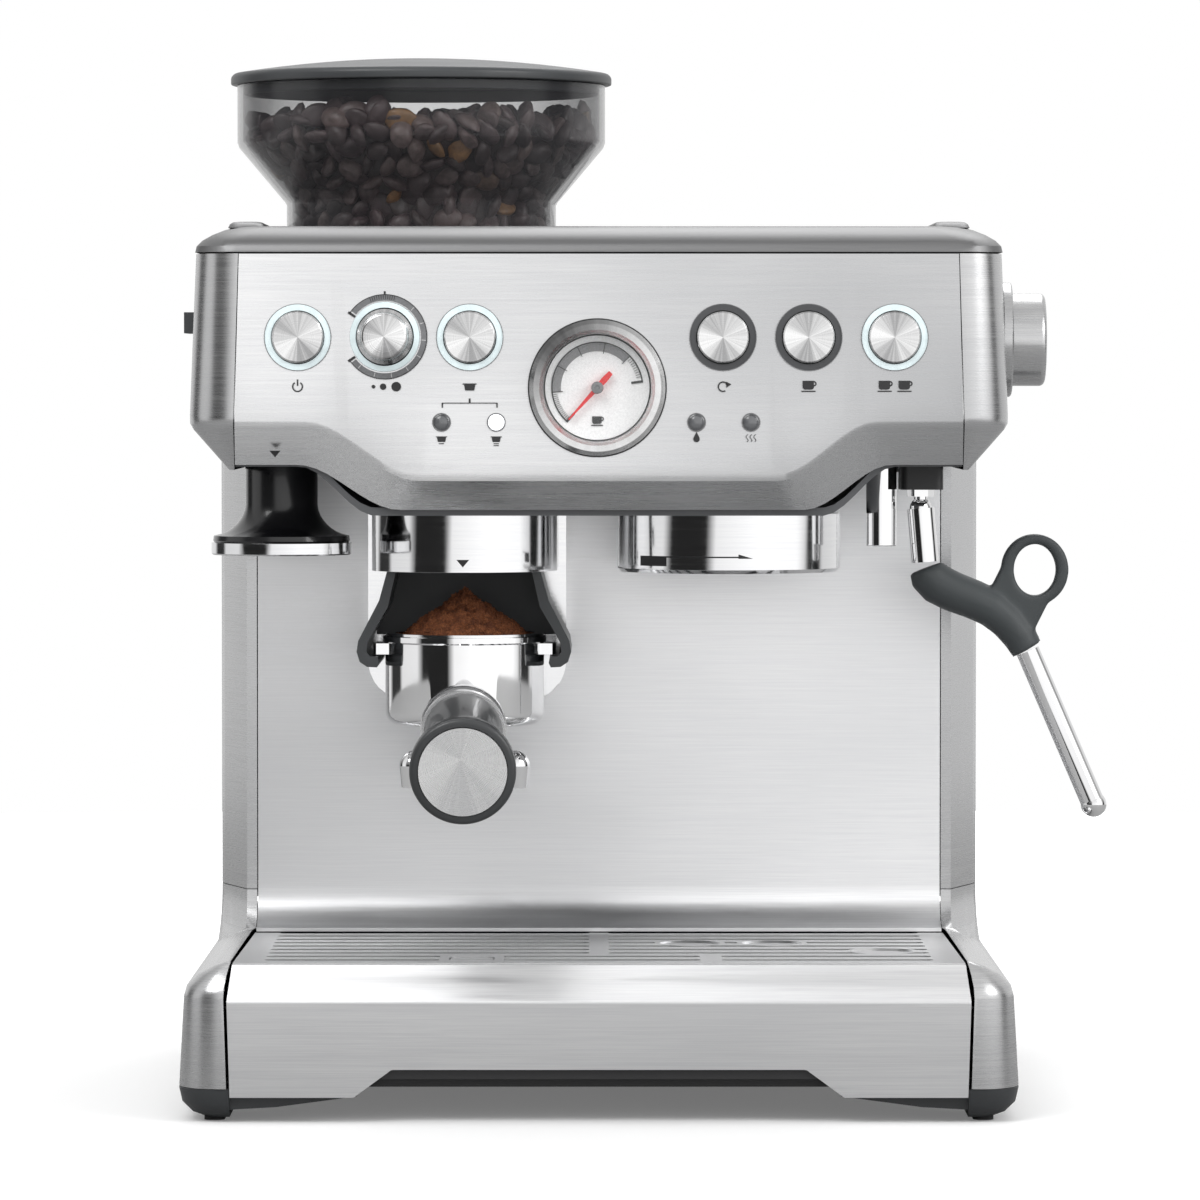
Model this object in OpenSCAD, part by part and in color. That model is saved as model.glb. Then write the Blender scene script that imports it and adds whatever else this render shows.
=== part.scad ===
// Espresso machine with a built-in grinder: steel case, bean hopper, control head,
// group head, grinding cradle with a portafilter, steam wand, drip tray and water tank.
// Millimetres. +Z is up, the controls face -Y and +X is the machine's right-hand side as
// a user sees it. The origin lies on the floor, under the centre of the whole machine.

/* [Case] */
// Width across the base covers at their lower edge
base_w = 313.2; // [309:0.2:317]
// Depth of the case from the tray's front to the rear of the tank
case_d = 330; // [326:1:336]
// Height of the flat top of the head above the floor
top_z = 333; // [331:0.5:335]
// Width of the head at its widest line
head_w = 307.6; // [304:0.2:311]
// How far the head's face stands behind the tray's front
head_setback = 25; // [22:1:30]
// Clear depth of the cup space, from the tray's front to the splash panel
cup_space_d = 165; // [160:1:168]
// Height of the drip grille above the floor
tray_z = 58.6; // [57:0.2:60]

/* [Hopper] */
// Radius of the hopper's upper rim
hopper_r = 73.2; // [70:0.2:75]
// Height of the hopper's rim above the floor
hopper_rim_z = 392; // [388:1:396]
// Radius of the hopper's neck where it enters the case
neck_r = 53.6; // [51:0.2:54]

/* [Brewing] */
// Radius of the group head's skirt
group_r = 42.9; // [40:0.1:44]
// Radius of the portafilter's bowl
bowl_r = 30.5; // [29:0.1:31]
// Radius of the tamper's steel base
tamper_r = 26.7; // [25:0.1:27]
// Radius of the portafilter handle's end
handle_end_r = 19.4; // [17:0.1:20]

/* [Controls] */
// Radius of a push button
button_r = 9.7; // [8.5:0.1:9.8]
// Radius of the pressure gauge's bezel
gauge_r = 25.4; // [24:0.1:26]
// Radius of the steam dial
steam_dial_r = 17.7; // [16:0.1:19]

/* [Hidden] */
$fn = 48;

// Colours
steel = [0.74, 0.74, 0.75];
chrome = [0.86, 0.87, 0.88];
dark_grey = [0.25, 0.26, 0.27];
black = [0.06, 0.06, 0.065];
rubber_grey = [0.27, 0.29, 0.30];
smoke = [0.30, 0.30, 0.32, 0.45];
light_white = [0.88, 0.96, 0.97];
brass = [0.75, 0.60, 0.30];

// Small sizes shared by many pieces
sheet = 1.6;
fit = 0.05;

// Planes of the case, with Y = 0 at the splash panel's face
splash_y = 0;
front_y = -cup_space_d;
rear_y = front_y + case_d;
face_y = front_y + head_setback;
panel_rear_y = rear_y - 5;
tank_wall_y = rear_y - 59;
base_hw = base_w/2;
head_hw = head_w/2;
column_hw = head_hw - 3.2;
seam_z = top_z - 10;
fold_z = 259;
head_low_z = 241.6;
column_seam_z = 74.4;
foot_z = 12.4;

// Grinder and brewing axes
grind_x = -51.6;
brew_y = front_y + 100;
group_x = 49.8;
group_z = 201.9;
hopper_x = -70.7;
hopper_y = 35;
tamper_x = -121;
tamper_y = -85;
spout_x = 107.7;
wand_x = 122.7;
wand_y = -85;
wand_z = 228.4;
dial_y = front_y + 90;
dial_z = 290.7;
button_z = 291.2;
gauge_x = -0.6;
gauge_z = 272.4;

// Outermost points, which place the origin
wand_tip_x = 193.8;
size_dial_x = -head_hw - 3.8;
handle_front_y = front_y - 60;
frame_x = -(wand_tip_x + size_dial_x)/2;
frame_y = -(handle_front_y + rear_y)/2;
module in_frame() { translate([frame_x, frame_y, 0]) children(); }

// ---- Helpers ----

function mix(a, b, t) = a + (b - a)*t;
function smooth(t) = let (c = min(max(t, 0), 1)) c*c*(3 - 2*c);
// 0 outside the outer pair of X values, 1 between the inner pair, smooth in between
function dip(x, left_out, left_in, right_in, right_out) =
    min(smooth((x - left_out)/(left_in - left_out)), smooth((right_out - x)/(right_out - right_in)));
// Points of an elliptical arc from angle a to angle b
function arc(cx, cy, rx, ry, a, b, n) =
    [for (i = [0:n]) let (t = mix(a, b, i/n)) [cx + rx*cos(t), cy + ry*sin(t)]];
function reversed(list) = [for (i = [len(list) - 1:-1:0]) list[i]];
function at_z(points, z) = [for (p = points) [p[0], p[1], z]];
// Steps of X that are fine where the head's lower edge curves
function spread(a, b, n) = [for (i = [0:n]) mix(a, b, i/n)];

// Solid skinned over closed rings of equal length, each anticlockwise seen from the last ring
module skin(rings) {
    n = len(rings[0]);
    m = len(rings);
    sides = [for (k = [0:m - 2], i = [0:n - 1]) let (j = (i + 1) % n)
        each [[k*n + i, (k + 1)*n + i, (k + 1)*n + j], [k*n + i, (k + 1)*n + j, k*n + j]]];
    polyhedron([for (ring = rings, p = ring) p],
        concat([[for (i = [0:n - 1]) i]], sides, [[for (i = [n - 1:-1:0]) (m - 1)*n + i]]));
}

// Joins overlapping skins of one pressing into a single closed mesh at its own size
module pressing() { resize([0, 0, 0]) union() children(); }

module right_side() { children(); }
module left_side() { mirror([1, 0, 0]) children(); }
// Turns a shape drawn round +Z so that it is round -Y, facing the user
module facing(x, y, z) { translate([x, y, z]) rotate([90, 0, 0]) children(); }
module along_x(x, y, z) { translate([x, y, z]) rotate([0, 90, 0]) children(); }
module along_y(x, y, z) { translate([x, y, z]) rotate([-90, 0, 0]) children(); }
module box(low, high) { translate(low) cube(high - low); }
// Round bar between two points
module rod(a, b, r) {
    d = b - a;
    h = norm(d);
    translate(a) rotate([0, acos(d[2]/h), atan2(d[1], d[0])]) cylinder(r = r, h = h);
}
module tube(outer, inner, h) {
    difference() {
        cylinder(r = outer, h = h);
        translate([0, 0, -1]) cylinder(r = inner, h = h + 2);
    }
}
// Rounded rectangle built from plain shapes, so that its extrusion keeps true curves
module soft_rect(w, d, r) {
    square([w - 2*r, d], center = true);
    square([w, d - 2*r], center = true);
    for (x = [-1, 1], y = [-1, 1]) translate([x*(w/2 - r), y*(d/2 - r)]) circle(r);
}

// ---- Base and feet ----

pan_hw = 135;
pan_front_y = front_y + 10;
basin_hw = 131;

// Dark plastic tub that carries everything and holds the drip tray
module base_pan() {
    wall = 3;
    color(black) difference() {
        union() {
            box([-pan_hw, pan_front_y, foot_z + 0.1], [pan_hw, rear_y - 4, 15.5]);
            // Floor that reaches out under both base covers
            box([3.2 - base_hw, front_y + 20, foot_z + 0.1], [base_hw - 3.2, rear_y - 4, 14.5]);
            for (side = [-1, 1]) scale([side, 1, 1])
                box([pan_hw - wall, pan_front_y, 15], [pan_hw, rear_y - 4, 54]);
            box([-pan_hw, splash_y + 2, 54], [pan_hw, rear_y - 4, 59]);
            box([-pan_hw, rear_y - 7, 15], [pan_hw, rear_y - 4, 55]);
            // Rear plate that closes the ends of both base covers
            translate([0, rear_y - 2.4, 0]) rotate([90, 0, 0]) linear_extrude(1.6)
                for (side = [-1, 1]) polygon([[0, foot_z + 0.4], [side*(base_hw - 1), foot_z + 0.4],
                    [side*(base_hw - 3), 46], [side*(base_hw - 9), 54], [side*(base_hw - 15), 57],
                    [side*(base_hw - 22), 59], [0, 59]]);
        }
        along_y(-100, rear_y - 20, 36) cylinder(r = 7, h = 30);
        along_y(-100, rear_y - 3.99, 36) cylinder(r = 9.4, h = 10);
        translate([60, pump_y, 50]) cylinder(r = hose_r + 0.6, h = 20);
        translate([60, tank_mid_y, 50]) cylinder(r = 8, h = 20);
    }
}

// Plan of a corner: a rounded outline in the +X, -Y quarter
function corner_plan(hw, inner, front, rear, r) = concat(
    [[inner, front]], arc(hw - r, front + r, r, r, -90, 0, 6), [[hw, rear], [inner, rear]]);

module corner_foot() {
    pad_in = 137.2;
    foot_rear = front_y + 46;
    skin([for (s = [[1.6, 9.4], [3.2, 5.2], [7, 1.4], [foot_z, 0.2]])
        at_z(corner_plan(base_hw - s[1], pad_in, front_y + s[1]*0.7 + 0.4, foot_rear, 13 - s[1]*0.5), s[0])]);
    // Stiffening web that tapers towards the middle
    translate([0, front_y + 40, 0]) rotate([90, 0, 0]) linear_extrude(35)
        polygon([[pad_in + 1, 4.4], [pad_in + 1, foot_z], [88, foot_z], [90, 9.4], [120, 5.4]]);
}
module each_corner() {
    for (x = [0, 1], y = [0, 1])
        translate([0, y*(front_y + rear_y), 0]) mirror([0, y, 0]) mirror([x, 0, 0]) children();
}
module corner_feet() { color(dark_grey) each_corner() corner_foot(); }

pad_w = 7.6;
pad_x = 143.2;
pad_len = 30;
pad_y = front_y + 26;
module rubber_pads() {
    color(black) each_corner() translate([pad_x, pad_y, 0])
        linear_extrude(1.6) soft_rect(pad_w, pad_len, 3);
}

// ---- Base covers ----

// Closed plan section of a bent sheet: front flange, rounded corner, side that may taper inwards
function sheet_plan(inner, hw, front, rear, r, t, taper = 0) = concat(
    [[inner, front]], arc(hw - r, front + r*1.2, r, r*1.2, -90, 0, 8), [[hw - taper, rear]],
    [[hw - taper - t, rear]], reversed(arc(hw - r, front + r*1.2, r - t, r*1.2 - t, -90, 0, 8)),
    [[inner, front + t]]);

module base_cover() {
    // Height, inset of the side, inset of the front, corner radius, inner edge, taper
    steps = [[foot_z + 0.2, 0, 0, 15, 138.2, 0], [46, 1.9, 0, 14, 139.2, 0.2], [50, 3, 1.4, 12.8, 139, 0.4],
        [54.4, 7.4, 4.2, 9, 138.2, 0.8], [57.6, 13.4, 6.8, 4, 137.4, 1.2], [59.2, 18, 8.2, 1.8, 136.8, 1.6]];
    pressing() {
        skin([for (s = steps)
            at_z(sheet_plan(s[4], base_hw - s[1], front_y + s[2], rear_y - 4, s[3], sheet, s[5]), s[0])]);
        // Flare that sweeps up to the column
        skin([for (k = [0:8]) let (z = mix(45, column_seam_z, k/8), f = pow(1 - k/8, 2.4))
            at_z(column_plan(mix(134.8, 141.5, smooth((60 - z)/3)), column_hw + 1.6*f, splash_y - 34*f), z)]);
    }
}
module left_base_cover() { color(steel) left_side() base_cover(); }
module right_base_cover() { color(steel) right_side() base_cover(); }

// ---- Side panels: column and head in one pressing ----

// Plan of the column: narrow front strip, slanted corner, side
function column_plan(inner, hw, front) = [
    [inner, front], [inner + 4, front], [hw - 1.6, front + 29], [hw, front + 36],
    [hw, panel_rear_y - 0.6], [hw - sheet, panel_rear_y - 0.6], [hw - sheet, front + 36.4],
    [hw - 3, front + 30], [inner + 3.2, front + sheet], [inner, front + sheet]];

// Front plane of the head at a height
function face_at(z) = face_y + 3.2*(z - fold_z)/(seam_z - fold_z);

module side_panel() {
    // Height, side, front, corner radius, inner edge
    steps = [[seam_z - 0.5, head_hw - 2.4, face_at(seam_z), 15.6, 134.7],
        [300, head_hw - 1.5, face_at(300), 15.6, 135.3],
        [fold_z + 3, head_hw - 0.1, face_y + 0.1, 15.6, 136.4],
        [fold_z, head_hw - 0.2, face_y + 0.3, 15.2, 136.5],
        [fold_z - 2.4, head_hw - 1.6, face_y + 1.6, 13.6, 136.5],
        [head_low_z, 138.7, face_y + 11.4, 2, 136.6]];
    difference() {
        union() {
            skin([for (s = reversed(steps))
                at_z(sheet_plan(s[4], s[1], s[2], panel_rear_y, s[3], sheet), s[0])]);
            difference() {
                translate([0, 0, column_seam_z + 0.3]) linear_extrude(fold_z - column_seam_z)
                    polygon(column_plan(134.8, column_hw, splash_y));
                // The column ends close under the head's lower fold
                translate([0, rear_y + 1, 0]) rotate([90, 0, 0]) linear_extrude(case_d)
                    polygon([[130, head_low_z - 0.2], [138.9, head_low_z - 0.2], [152.4, fold_z - 2.6],
                        [170, fold_z - 2.6], [170, fold_z + 30], [130, fold_z + 30]]);
            }
        }
        children();
    }
}
size_dial_r = 20;
size_dial_z = 297;
module left_side_panel() {
    color(steel) left_side() side_panel()
        along_x(100, dial_y, size_dial_z) cylinder(r = size_dial_r + fit, h = 80);
}
module right_side_panel() {
    color(steel) right_side() side_panel() along_x(100, dial_y, dial_z) cylinder(r = 6, h = 80);
}

// ---- Splash panel, rear and top ----

module back_panel() {
    cove = 15.6;
    low_z = tray_z + 1.8;
    outer = concat([[splash_y, top_z - 94]], [[splash_y, low_z + cove]],
        [for (i = [1:9]) let (a = i*10) [splash_y - cove*(1 - cos(a)), low_z + cove*(1 - sin(a))]]);
    color(steel) translate([-134.4, 0, 0]) rotate([90, 0, 90]) linear_extrude(268.8)
        polygon(concat(outer, [[splash_y - cove, low_z - 1.4]],
            [for (i = [8:-1:1]) let (a = i*10)
                [splash_y - cove*(1 - cos(a)) + 1.4, low_z - 1.4 + cove*(1 - sin(a))]],
            [[splash_y + 1.4, low_z + cove], [splash_y + 1.4, top_z - 94]]));
}

bay_hw = 112.5;
// Rear wall with the bay that the water tank stands in
module rear_cover() {
    t = 2.5;
    plan = [[column_hw, rear_y - 2], [bay_hw, rear_y - 2], [bay_hw, tank_wall_y + t],
        [-bay_hw, tank_wall_y + t], [-bay_hw, rear_y - 2], [-column_hw, rear_y - 2],
        [-column_hw, rear_y - 4.6], [-bay_hw - t, rear_y - 4.6], [-bay_hw - t, tank_wall_y],
        [bay_hw + t, tank_wall_y], [bay_hw + t, rear_y - 4.6], [column_hw, rear_y - 4.6]];
    color(dark_grey) difference() {
        union() {
            translate([0, 0, 59.4]) linear_extrude(seam_z - 0.6 - 59.4) polygon(plan);
            box([-bay_hw, tank_wall_y + t, 59.4], [bay_hw, rear_y - 2, 62.4]);
        }
        translate([60, tank_mid_y, 50]) cylinder(r = 8.4, h = 20);
        for (x = [-1, 1], z = [100, 290]) along_y(x*131, rear_y - 10, z) cylinder(r = 2.1, h = 20);
    }
}
screw_y = rear_y - 2;
module case_screws() {
    color(chrome) {
        for (x = [-1, 1], z = [100, 290]) along_y(x*131, screw_y - 9, z) {
            cylinder(r = 1.9, h = 9);
            translate([0, 0, 9]) difference() {
                cylinder(r = 3.6, h = 1.6);
                translate([-2.6, -0.4, 0.8]) cube([5.2, 0.8, 2]);
            }
        }
        for (x = [-1, 1], y = [pan_front_y + 24, rear_y - 30]) translate([x*70, y, foot_z + 0.1])
            rotate([180, 0, 0]) difference() {
                cylinder(r = 3.6, h = 1.4);
                translate([-2.6, -0.4, 0.7]) cube([5.2, 0.8, 2]);
            }
    }
}
module cord_gland() {
    color(black) along_y(-100, rear_y - 16, 36) difference() {
        union() {
            cylinder(r = 7, h = 12);
            translate([0, 0, 12.1]) cylinder(r = 9, h = 3.8);
            cylinder(r = 9, h = 8.8);
        }
        translate([0, 0, -1]) cylinder(r = 3.6, h = 30);
    }
}

function round_plan(hw, front, rear, rf, rr) = concat(
    arc(-hw + rf, front + rf, rf, rf, 180, 270, 7), arc(hw - rf, front + rf, rf, rf, -90, 0, 7),
    arc(hw - rr, rear - rr, rr, rr, 0, 90, 3), arc(-hw + rr, rear - rr, rr, rr, 90, 180, 3));

collar_r = neck_r + 0.7;
module top_cover() {
    hw = head_hw - 2.2;
    // Height above the seam, inset
    steps = [[0.1, 0], [2.4, 0.5], [4.6, 2.6], [6.8, 6.2], [8.6, 10.4], [9.6, 14], [10, 17]];
    rail_hw = hw - 14;
    color(steel) difference() {
        union() {
            skin([for (s = steps) at_z(round_plan(hw - s[1], face_y + 2.6 + s[1]*0.9, rear_y - 2, 16, 4),
                seam_z + s[0])]);
            // Raised shoulders that rail in the cups
            for (side = [-1, 1]) scale([side, 1, 1]) translate([rail_hw - 5, splash_y - 18, top_z - 0.5])
                skin([for (s = [[0, 0], [1.4, 0.6], [2.2, 1.6], [2.5, 3.2]])
                    at_z(round_plan(7 - s[1], -100 + 3*s[1], 110 - 3*s[1], 3.6, 3.6), s[0])]);
        }
        // Hollow underside
        skin([for (s = [[-1, 2.6], [3, 3], [6, 8], [7.4, 14]])
            at_z(round_plan(hw - s[1], face_y + 4.6 + s[1], rear_y - 4, 14, 3), seam_z + s[0])]);
        translate([hopper_x, hopper_y, seam_z - 5]) cylinder(r = collar_r, h = 40);
        // Recess where cups are warmed
        translate([63, splash_y - 8, top_z - 1]) linear_extrude(5) soft_rect(118, 176, 8);
        box([-bay_hw - 0.6, tank_wall_y - 0.6, seam_z - 5], [bay_hw + 0.6, rear_y + 5, top_z + 9]);
    }
    // Ribs of the cup warmer
    color(steel) for (k = [-5:5]) translate([63 + k*10, splash_y - 8, top_z - 1.01])
        linear_extrude(1.2) soft_rect(2.4, 160, 1.1);
}

// ---- Front of the head ----

function fold_at(x) = fold_z - 1 - 19.8*dip(x, -109, -67, 66, 103);
function edge_at(x) = head_low_z + 1.9 - 16.9*dip(x, -112, -74, 76, 109);
function under_at(x) = head_low_z + 1.2 - 18.4*dip(x, -112, -84, 84, 111);
wave_x = concat([-1, -0.9], spread(-0.835, -0.48, 12), [0], spread(0.48, 0.815, 12), [0.9, 1]);

panel_top = seam_z - 0.6;
function panel_hw(z) = mix(136.4, 134.4, (z - head_low_z)/(panel_top - head_low_z));
function panel_ring(u, t) = let (x = u*135.4, f = fold_at(x), e = edge_at(x)) [
    for (p = [[face_at(panel_top), panel_top], [face_at(f + 2), f + 2], [face_at(f) + 0.5, f - 0.6],
        [face_y + 10.4, e], [face_y + 10.4 + t*1.1, e + 0.4], [face_at(f) + 0.4 + t, f - 0.2],
        [face_at(f + 2) + t, f + 2.6], [face_at(panel_top) + t, panel_top]])
    [u*panel_hw(p[1]), p[0], p[1]]];

// Centres of the round controls as [x, z]
buttons = [[-112.4, button_z], [-48.2, button_z], [46.3, button_z], [78.3, button_z], [110.4, button_z]];
amount_dial = [-79.9, button_z + 0.2];
lamps = [[-58.7, 259.5], [-38.3, 259.5], [36.4, 259.5], [56.7, 259.5]];
ring_r = button_r + 2.6;
lamp_r = 3;

module front_panel() {
    color(steel) difference() {
        skin([for (u = wave_x) panel_ring(u, sheet)]);
        for (c = buttons) facing(c[0], face_y + 20, c[1]) cylinder(r = ring_r + 0.1, h = 40);
        facing(amount_dial[0], face_y + 20, amount_dial[1]) cylinder(r = ring_r + 0.8, h = 40);
        facing(gauge_x, face_y + 20, gauge_z) cylinder(r = gauge_r - 1.2, h = 40);
        for (c = lamps) facing(c[0], face_y + 20, c[1]) cylinder(r = lamp_r + 0.1, h = 40);
    }
}

fascia_front_y = face_y + 12.6;
fascia_hw = 136.2;
slot_r = 14.3;
module lower_fascia() {
    t = 3;
    xs = [for (u = wave_x) u*fascia_hw];
    color(dark_grey) difference() {
        translate([0, splash_y - 2, 0]) rotate([90, 0, 0]) linear_extrude(splash_y - 2 - fascia_front_y)
            polygon(concat([for (x = xs) [x, under_at(x)]], [for (x = reversed(xs)) [x, under_at(x) + t]]));
        translate([tamper_x, tamper_y, 200]) cylinder(r = slot_r, h = 60);
        translate([spout_x, wand_y, 200]) cylinder(r = 6.1, h = 60);
        translate([wand_x, wand_y, 200]) cylinder(r = 4, h = 60);
        translate([grind_x, brew_y, 200]) cylinder(r = 18.2, h = 60);
        translate([group_x, brew_y, 200]) cylinder(r = 12.2, h = 60);
    }
}

// ---- Group head, grinder outlet, spout and wand mount ----

under_z = head_low_z - 17.2;
module group_head() {
    wall = 6.6;
    deck = group_z + 12.6;
    color(chrome) translate([group_x, brew_y, 0]) {
        rotate_extrude() polygon([[0, deck], [group_r - wall, deck], [group_r - wall, group_z + 0.6],
            [group_r - wall + 0.6, group_z], [group_r - 1.4, group_z], [group_r, group_z + 1.4],
            [group_r, under_z - 0.2], [12, under_z - 0.2], [12, under_z + 24], [0, under_z + 24]]);
        // Bayonet ramps that the portafilter locks into
        intersection() {
            translate([0, 0, group_z + 0.6]) tube(group_r - wall + 0.5, group_r - wall - 3, 3);
            for (side = [-1, 1]) rotate([0, 0, side*90]) translate([-60, 12, 190]) cube([120, 60, 30]);
        }
    }
}
module shower_screen() {
    color(steel) translate([group_x, brew_y, group_z + 9.8]) {
        cylinder(r1 = 25.6, r2 = 27, h = 1.2);
        translate([0, 0, 1.2]) cylinder(r = 27, h = 1.4);
        translate([0, 0, -1.6]) cylinder(r = 4, h = 1.7);
    }
}

outlet_r = 35.6;
plate_hw = 38.8;
plate_front_y = splash_y - 15;
module grinder_outlet() {
    low = group_z + 0.3;
    h = under_z - 0.2 - low;
    color(steel) {
        difference() {
            translate([grind_x, brew_y, low]) linear_extrude(h) shroud(outlet_r);
            translate([grind_x, brew_y, low - 1]) linear_extrude(h + 2) shroud(outlet_r - 2.4);
        }
        translate([grind_x, brew_y, low + 3]) tube(17.6, 14.6, 45);
        // Web that ties the chute to the shroud
        translate([grind_x, brew_y, under_z - 3.2]) difference() {
            cylinder(r = outlet_r - 1, h = 3);
            translate([0, 0, -1]) cylinder(r = 17, h = 5);
        }
        difference() {
            back_plate(0, plate_front_y, splash_y - 0.3);
            back_plate(1.6, plate_front_y + 1.6, splash_y + 1);
            facing(grind_x, splash_y + 5, switch_z) cylinder(r = switch_r + 1.4, h = 40);
        }
    }
}
module shroud(r) {
    circle(r);
    translate([-r, 0]) square([2*r, plate_front_y - brew_y + 0.01]);
}
module back_plate(inset, y0, y1) {
    low = 150 + inset;
    r = 15;
    translate([grind_x, y1, 0]) rotate([90, 0, 0]) linear_extrude(y1 - y0) {
        w = plate_hw - inset;
        translate([-w, low + r]) square([2*w, under_z - 0.2 - inset - low - r]);
        translate([-w + r, low]) square([2*w - 2*r, r + 1]);
        for (side = [-1, 1]) translate([side*(w - r), low + r]) circle(r);
    }
}

rim_z = 177;
lug_z = 170.2;
lug_h = 4.2;
lug_r = 35.2;
switch_z = 186;
switch_r = 6;
cradle_front_y = brew_y - 17;
module cradle() {
    arm = [[26, 202], [29.4, 202], [32.4, 191], [37.6, 181], [40.4, 175.6], [41, 171.4], [39.8, 167.6],
        [37, 165.7], [33.2, 165.5], [32.4, 167.2], [33, 169.6], [36, 169.8], [37.2, 171.4], [36.8, 175],
        [33.8, 180.4], [29, 188.6]];
    color(dark_grey) {
        for (side = [-1, 1]) translate([grind_x, plate_front_y - 0.2, 0]) rotate([90, 0, 0])
            linear_extrude(plate_front_y - 0.2 - cradle_front_y)
            polygon([for (p = arm) [side*p[0], p[1]]]);
        difference() {
            box([grind_x - 35.2, plate_front_y - 9, 176], [grind_x + 35.2, plate_front_y - 0.2, 202]);
            facing(grind_x, splash_y, switch_z) cylinder(r = switch_r + 0.3, h = 40);
            for (side = [-1, 1]) translate([grind_x, 0, 0]) rotate([90, 0, 0]) linear_extrude(90)
                polygon([[side*29.4, 202.5], [side*32.4, 191], [side*37.6, 181],
                    [side*50, 170], [side*50, 210]]);
        }
    }
}
module hot_water_spout() {
    color(chrome) translate([spout_x, wand_y, 212]) tube(5.8, 4.2, 38);
}
module wand_bracket() {
    color(black) difference() {
        translate([wand_x, wand_y, 233.6]) linear_extrude(head_low_z + 0.9 - 233.6) soft_rect(16.4, 22, 3);
        translate([wand_x, wand_y, 225]) cylinder(r = 2.5 + fit, h = 20);
    }
    color(chrome) translate([wand_x, wand_y, 230.9]) difference() {
        cylinder(r = 5.2, h = 2.6, $fn = 6);
        translate([0, 0, -1]) cylinder(r = 2.5 + fit, h = 5);
    }
}

// ---- Steam wand ----

sleeve_end = [124.4, wand_y, 206];
// Middle line of the grip as [x, z, radius]
grip_path = [[124.6, 203.6, 6.4], [125.6, 201, 7.6], [129, 197.6, 7.9], [135, 194.6, 7.8], [143, 191.6, 7.6],
    [150, 188.2, 7.4], [156, 183.2, 7], [160.6, 177.4, 6.6], [163.4, 172.6, 6.2]];
wand_bend = [163.6, wand_y, 172];
wand_tip = [wand_tip_x - 4.9, wand_y, 113.4];
ball_r = 4.2;
module wand_ball() {
    color(chrome) translate([wand_x, wand_y, wand_z - 2]) {
        sphere(r = ball_r);
        cylinder(r = 2.5, h = 15);
    }
}
module wand_tube() {
    top = [wand_x, wand_y, wand_z - 2];
    color(chrome) difference() {
        union() {
            rod(top, sleeve_end, 5.2);
            rod(wand_bend, wand_tip, 4.5);
            translate(wand_tip) sphere(r = 4.9);
        }
        translate(top) sphere(r = ball_r + fit);
        rod(wand_tip, wand_tip + [2.2, 0, -5.2], 1);
    }
}
// Ellipse as points round the finger loop
loop_x = 166.2;
loop_z = 203;
function oval(rx, rz) = arc(loop_x, loop_z, rx, rz, 0, 352.5, 47);
// Direction of the grip's middle line at a point, in X and Z
function grip_dir(k) = let (n = len(grip_path) - 1,
    a = grip_path[max(k - 1, 0)], b = grip_path[min(k + 1, n)],
    d = [b[0] - a[0], b[1] - a[1]]) d/norm(d);
function grip_ring(k) = let (p = grip_path[k], d = grip_dir(k)) [for (i = [0:15]) let (a = i*22.5)
    [p[0] - d[1]*p[2]*sin(a), wand_y + p[2]*cos(a), p[1] + d[0]*p[2]*sin(a)]];
module wand_grip() {
    color(rubber_grey) difference() {
        union() {
            skin([for (k = [0:len(grip_path) - 1]) grip_ring(k)]);
            translate([0, wand_y + 4, 0]) rotate([90, 0, 0]) linear_extrude(8) {
                polygon(oval(12.8, 13.6));
                polygon([[148, 193], [155.5, 208], [172, 192], [165, 178], [158, 184]]);
            }
        }
        translate([0, wand_y + 10, 0]) rotate([90, 0, 0]) linear_extrude(20) polygon(oval(8.1, 9.8));
    }
}

// ---- Controls ----

module indicator(c) {
    facing(c[0], face_y, c[1]) {
        translate([0, 0, -5]) cylinder(r = lamp_r, h = 5);
        intersection() {
            cylinder(r = lamp_r, h = 3);
            translate([0, 0, -4.6]) sphere(r = 5.6);
        }
    }
}
module panel_lights() {
    color(light_white) {
        for (c = buttons) facing(c[0], face_y + 8, c[1]) tube(ring_r, button_r + 0.35, 7.2);
        facing(amount_dial[0], face_y + 8, amount_dial[1]) tube(ring_r + 0.7, 10.9, 7.2);
        for (c = lamps) indicator(c);
    }
}
module button(c) {
    color(steel) facing(c[0], face_y + 11, c[1]) {
        cylinder(r = button_r, h = 11.1);
        translate([0, 0, 11.1]) cylinder(r1 = button_r, r2 = button_r - 0.6, h = 0.6);
    }
}
module power_button() { button(buttons[0]); }
module filter_button() { button(buttons[1]); }
module program_button() { button(buttons[2]); }
module one_cup_button() { button(buttons[3]); }
module two_cup_button() { button(buttons[4]); }

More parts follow.
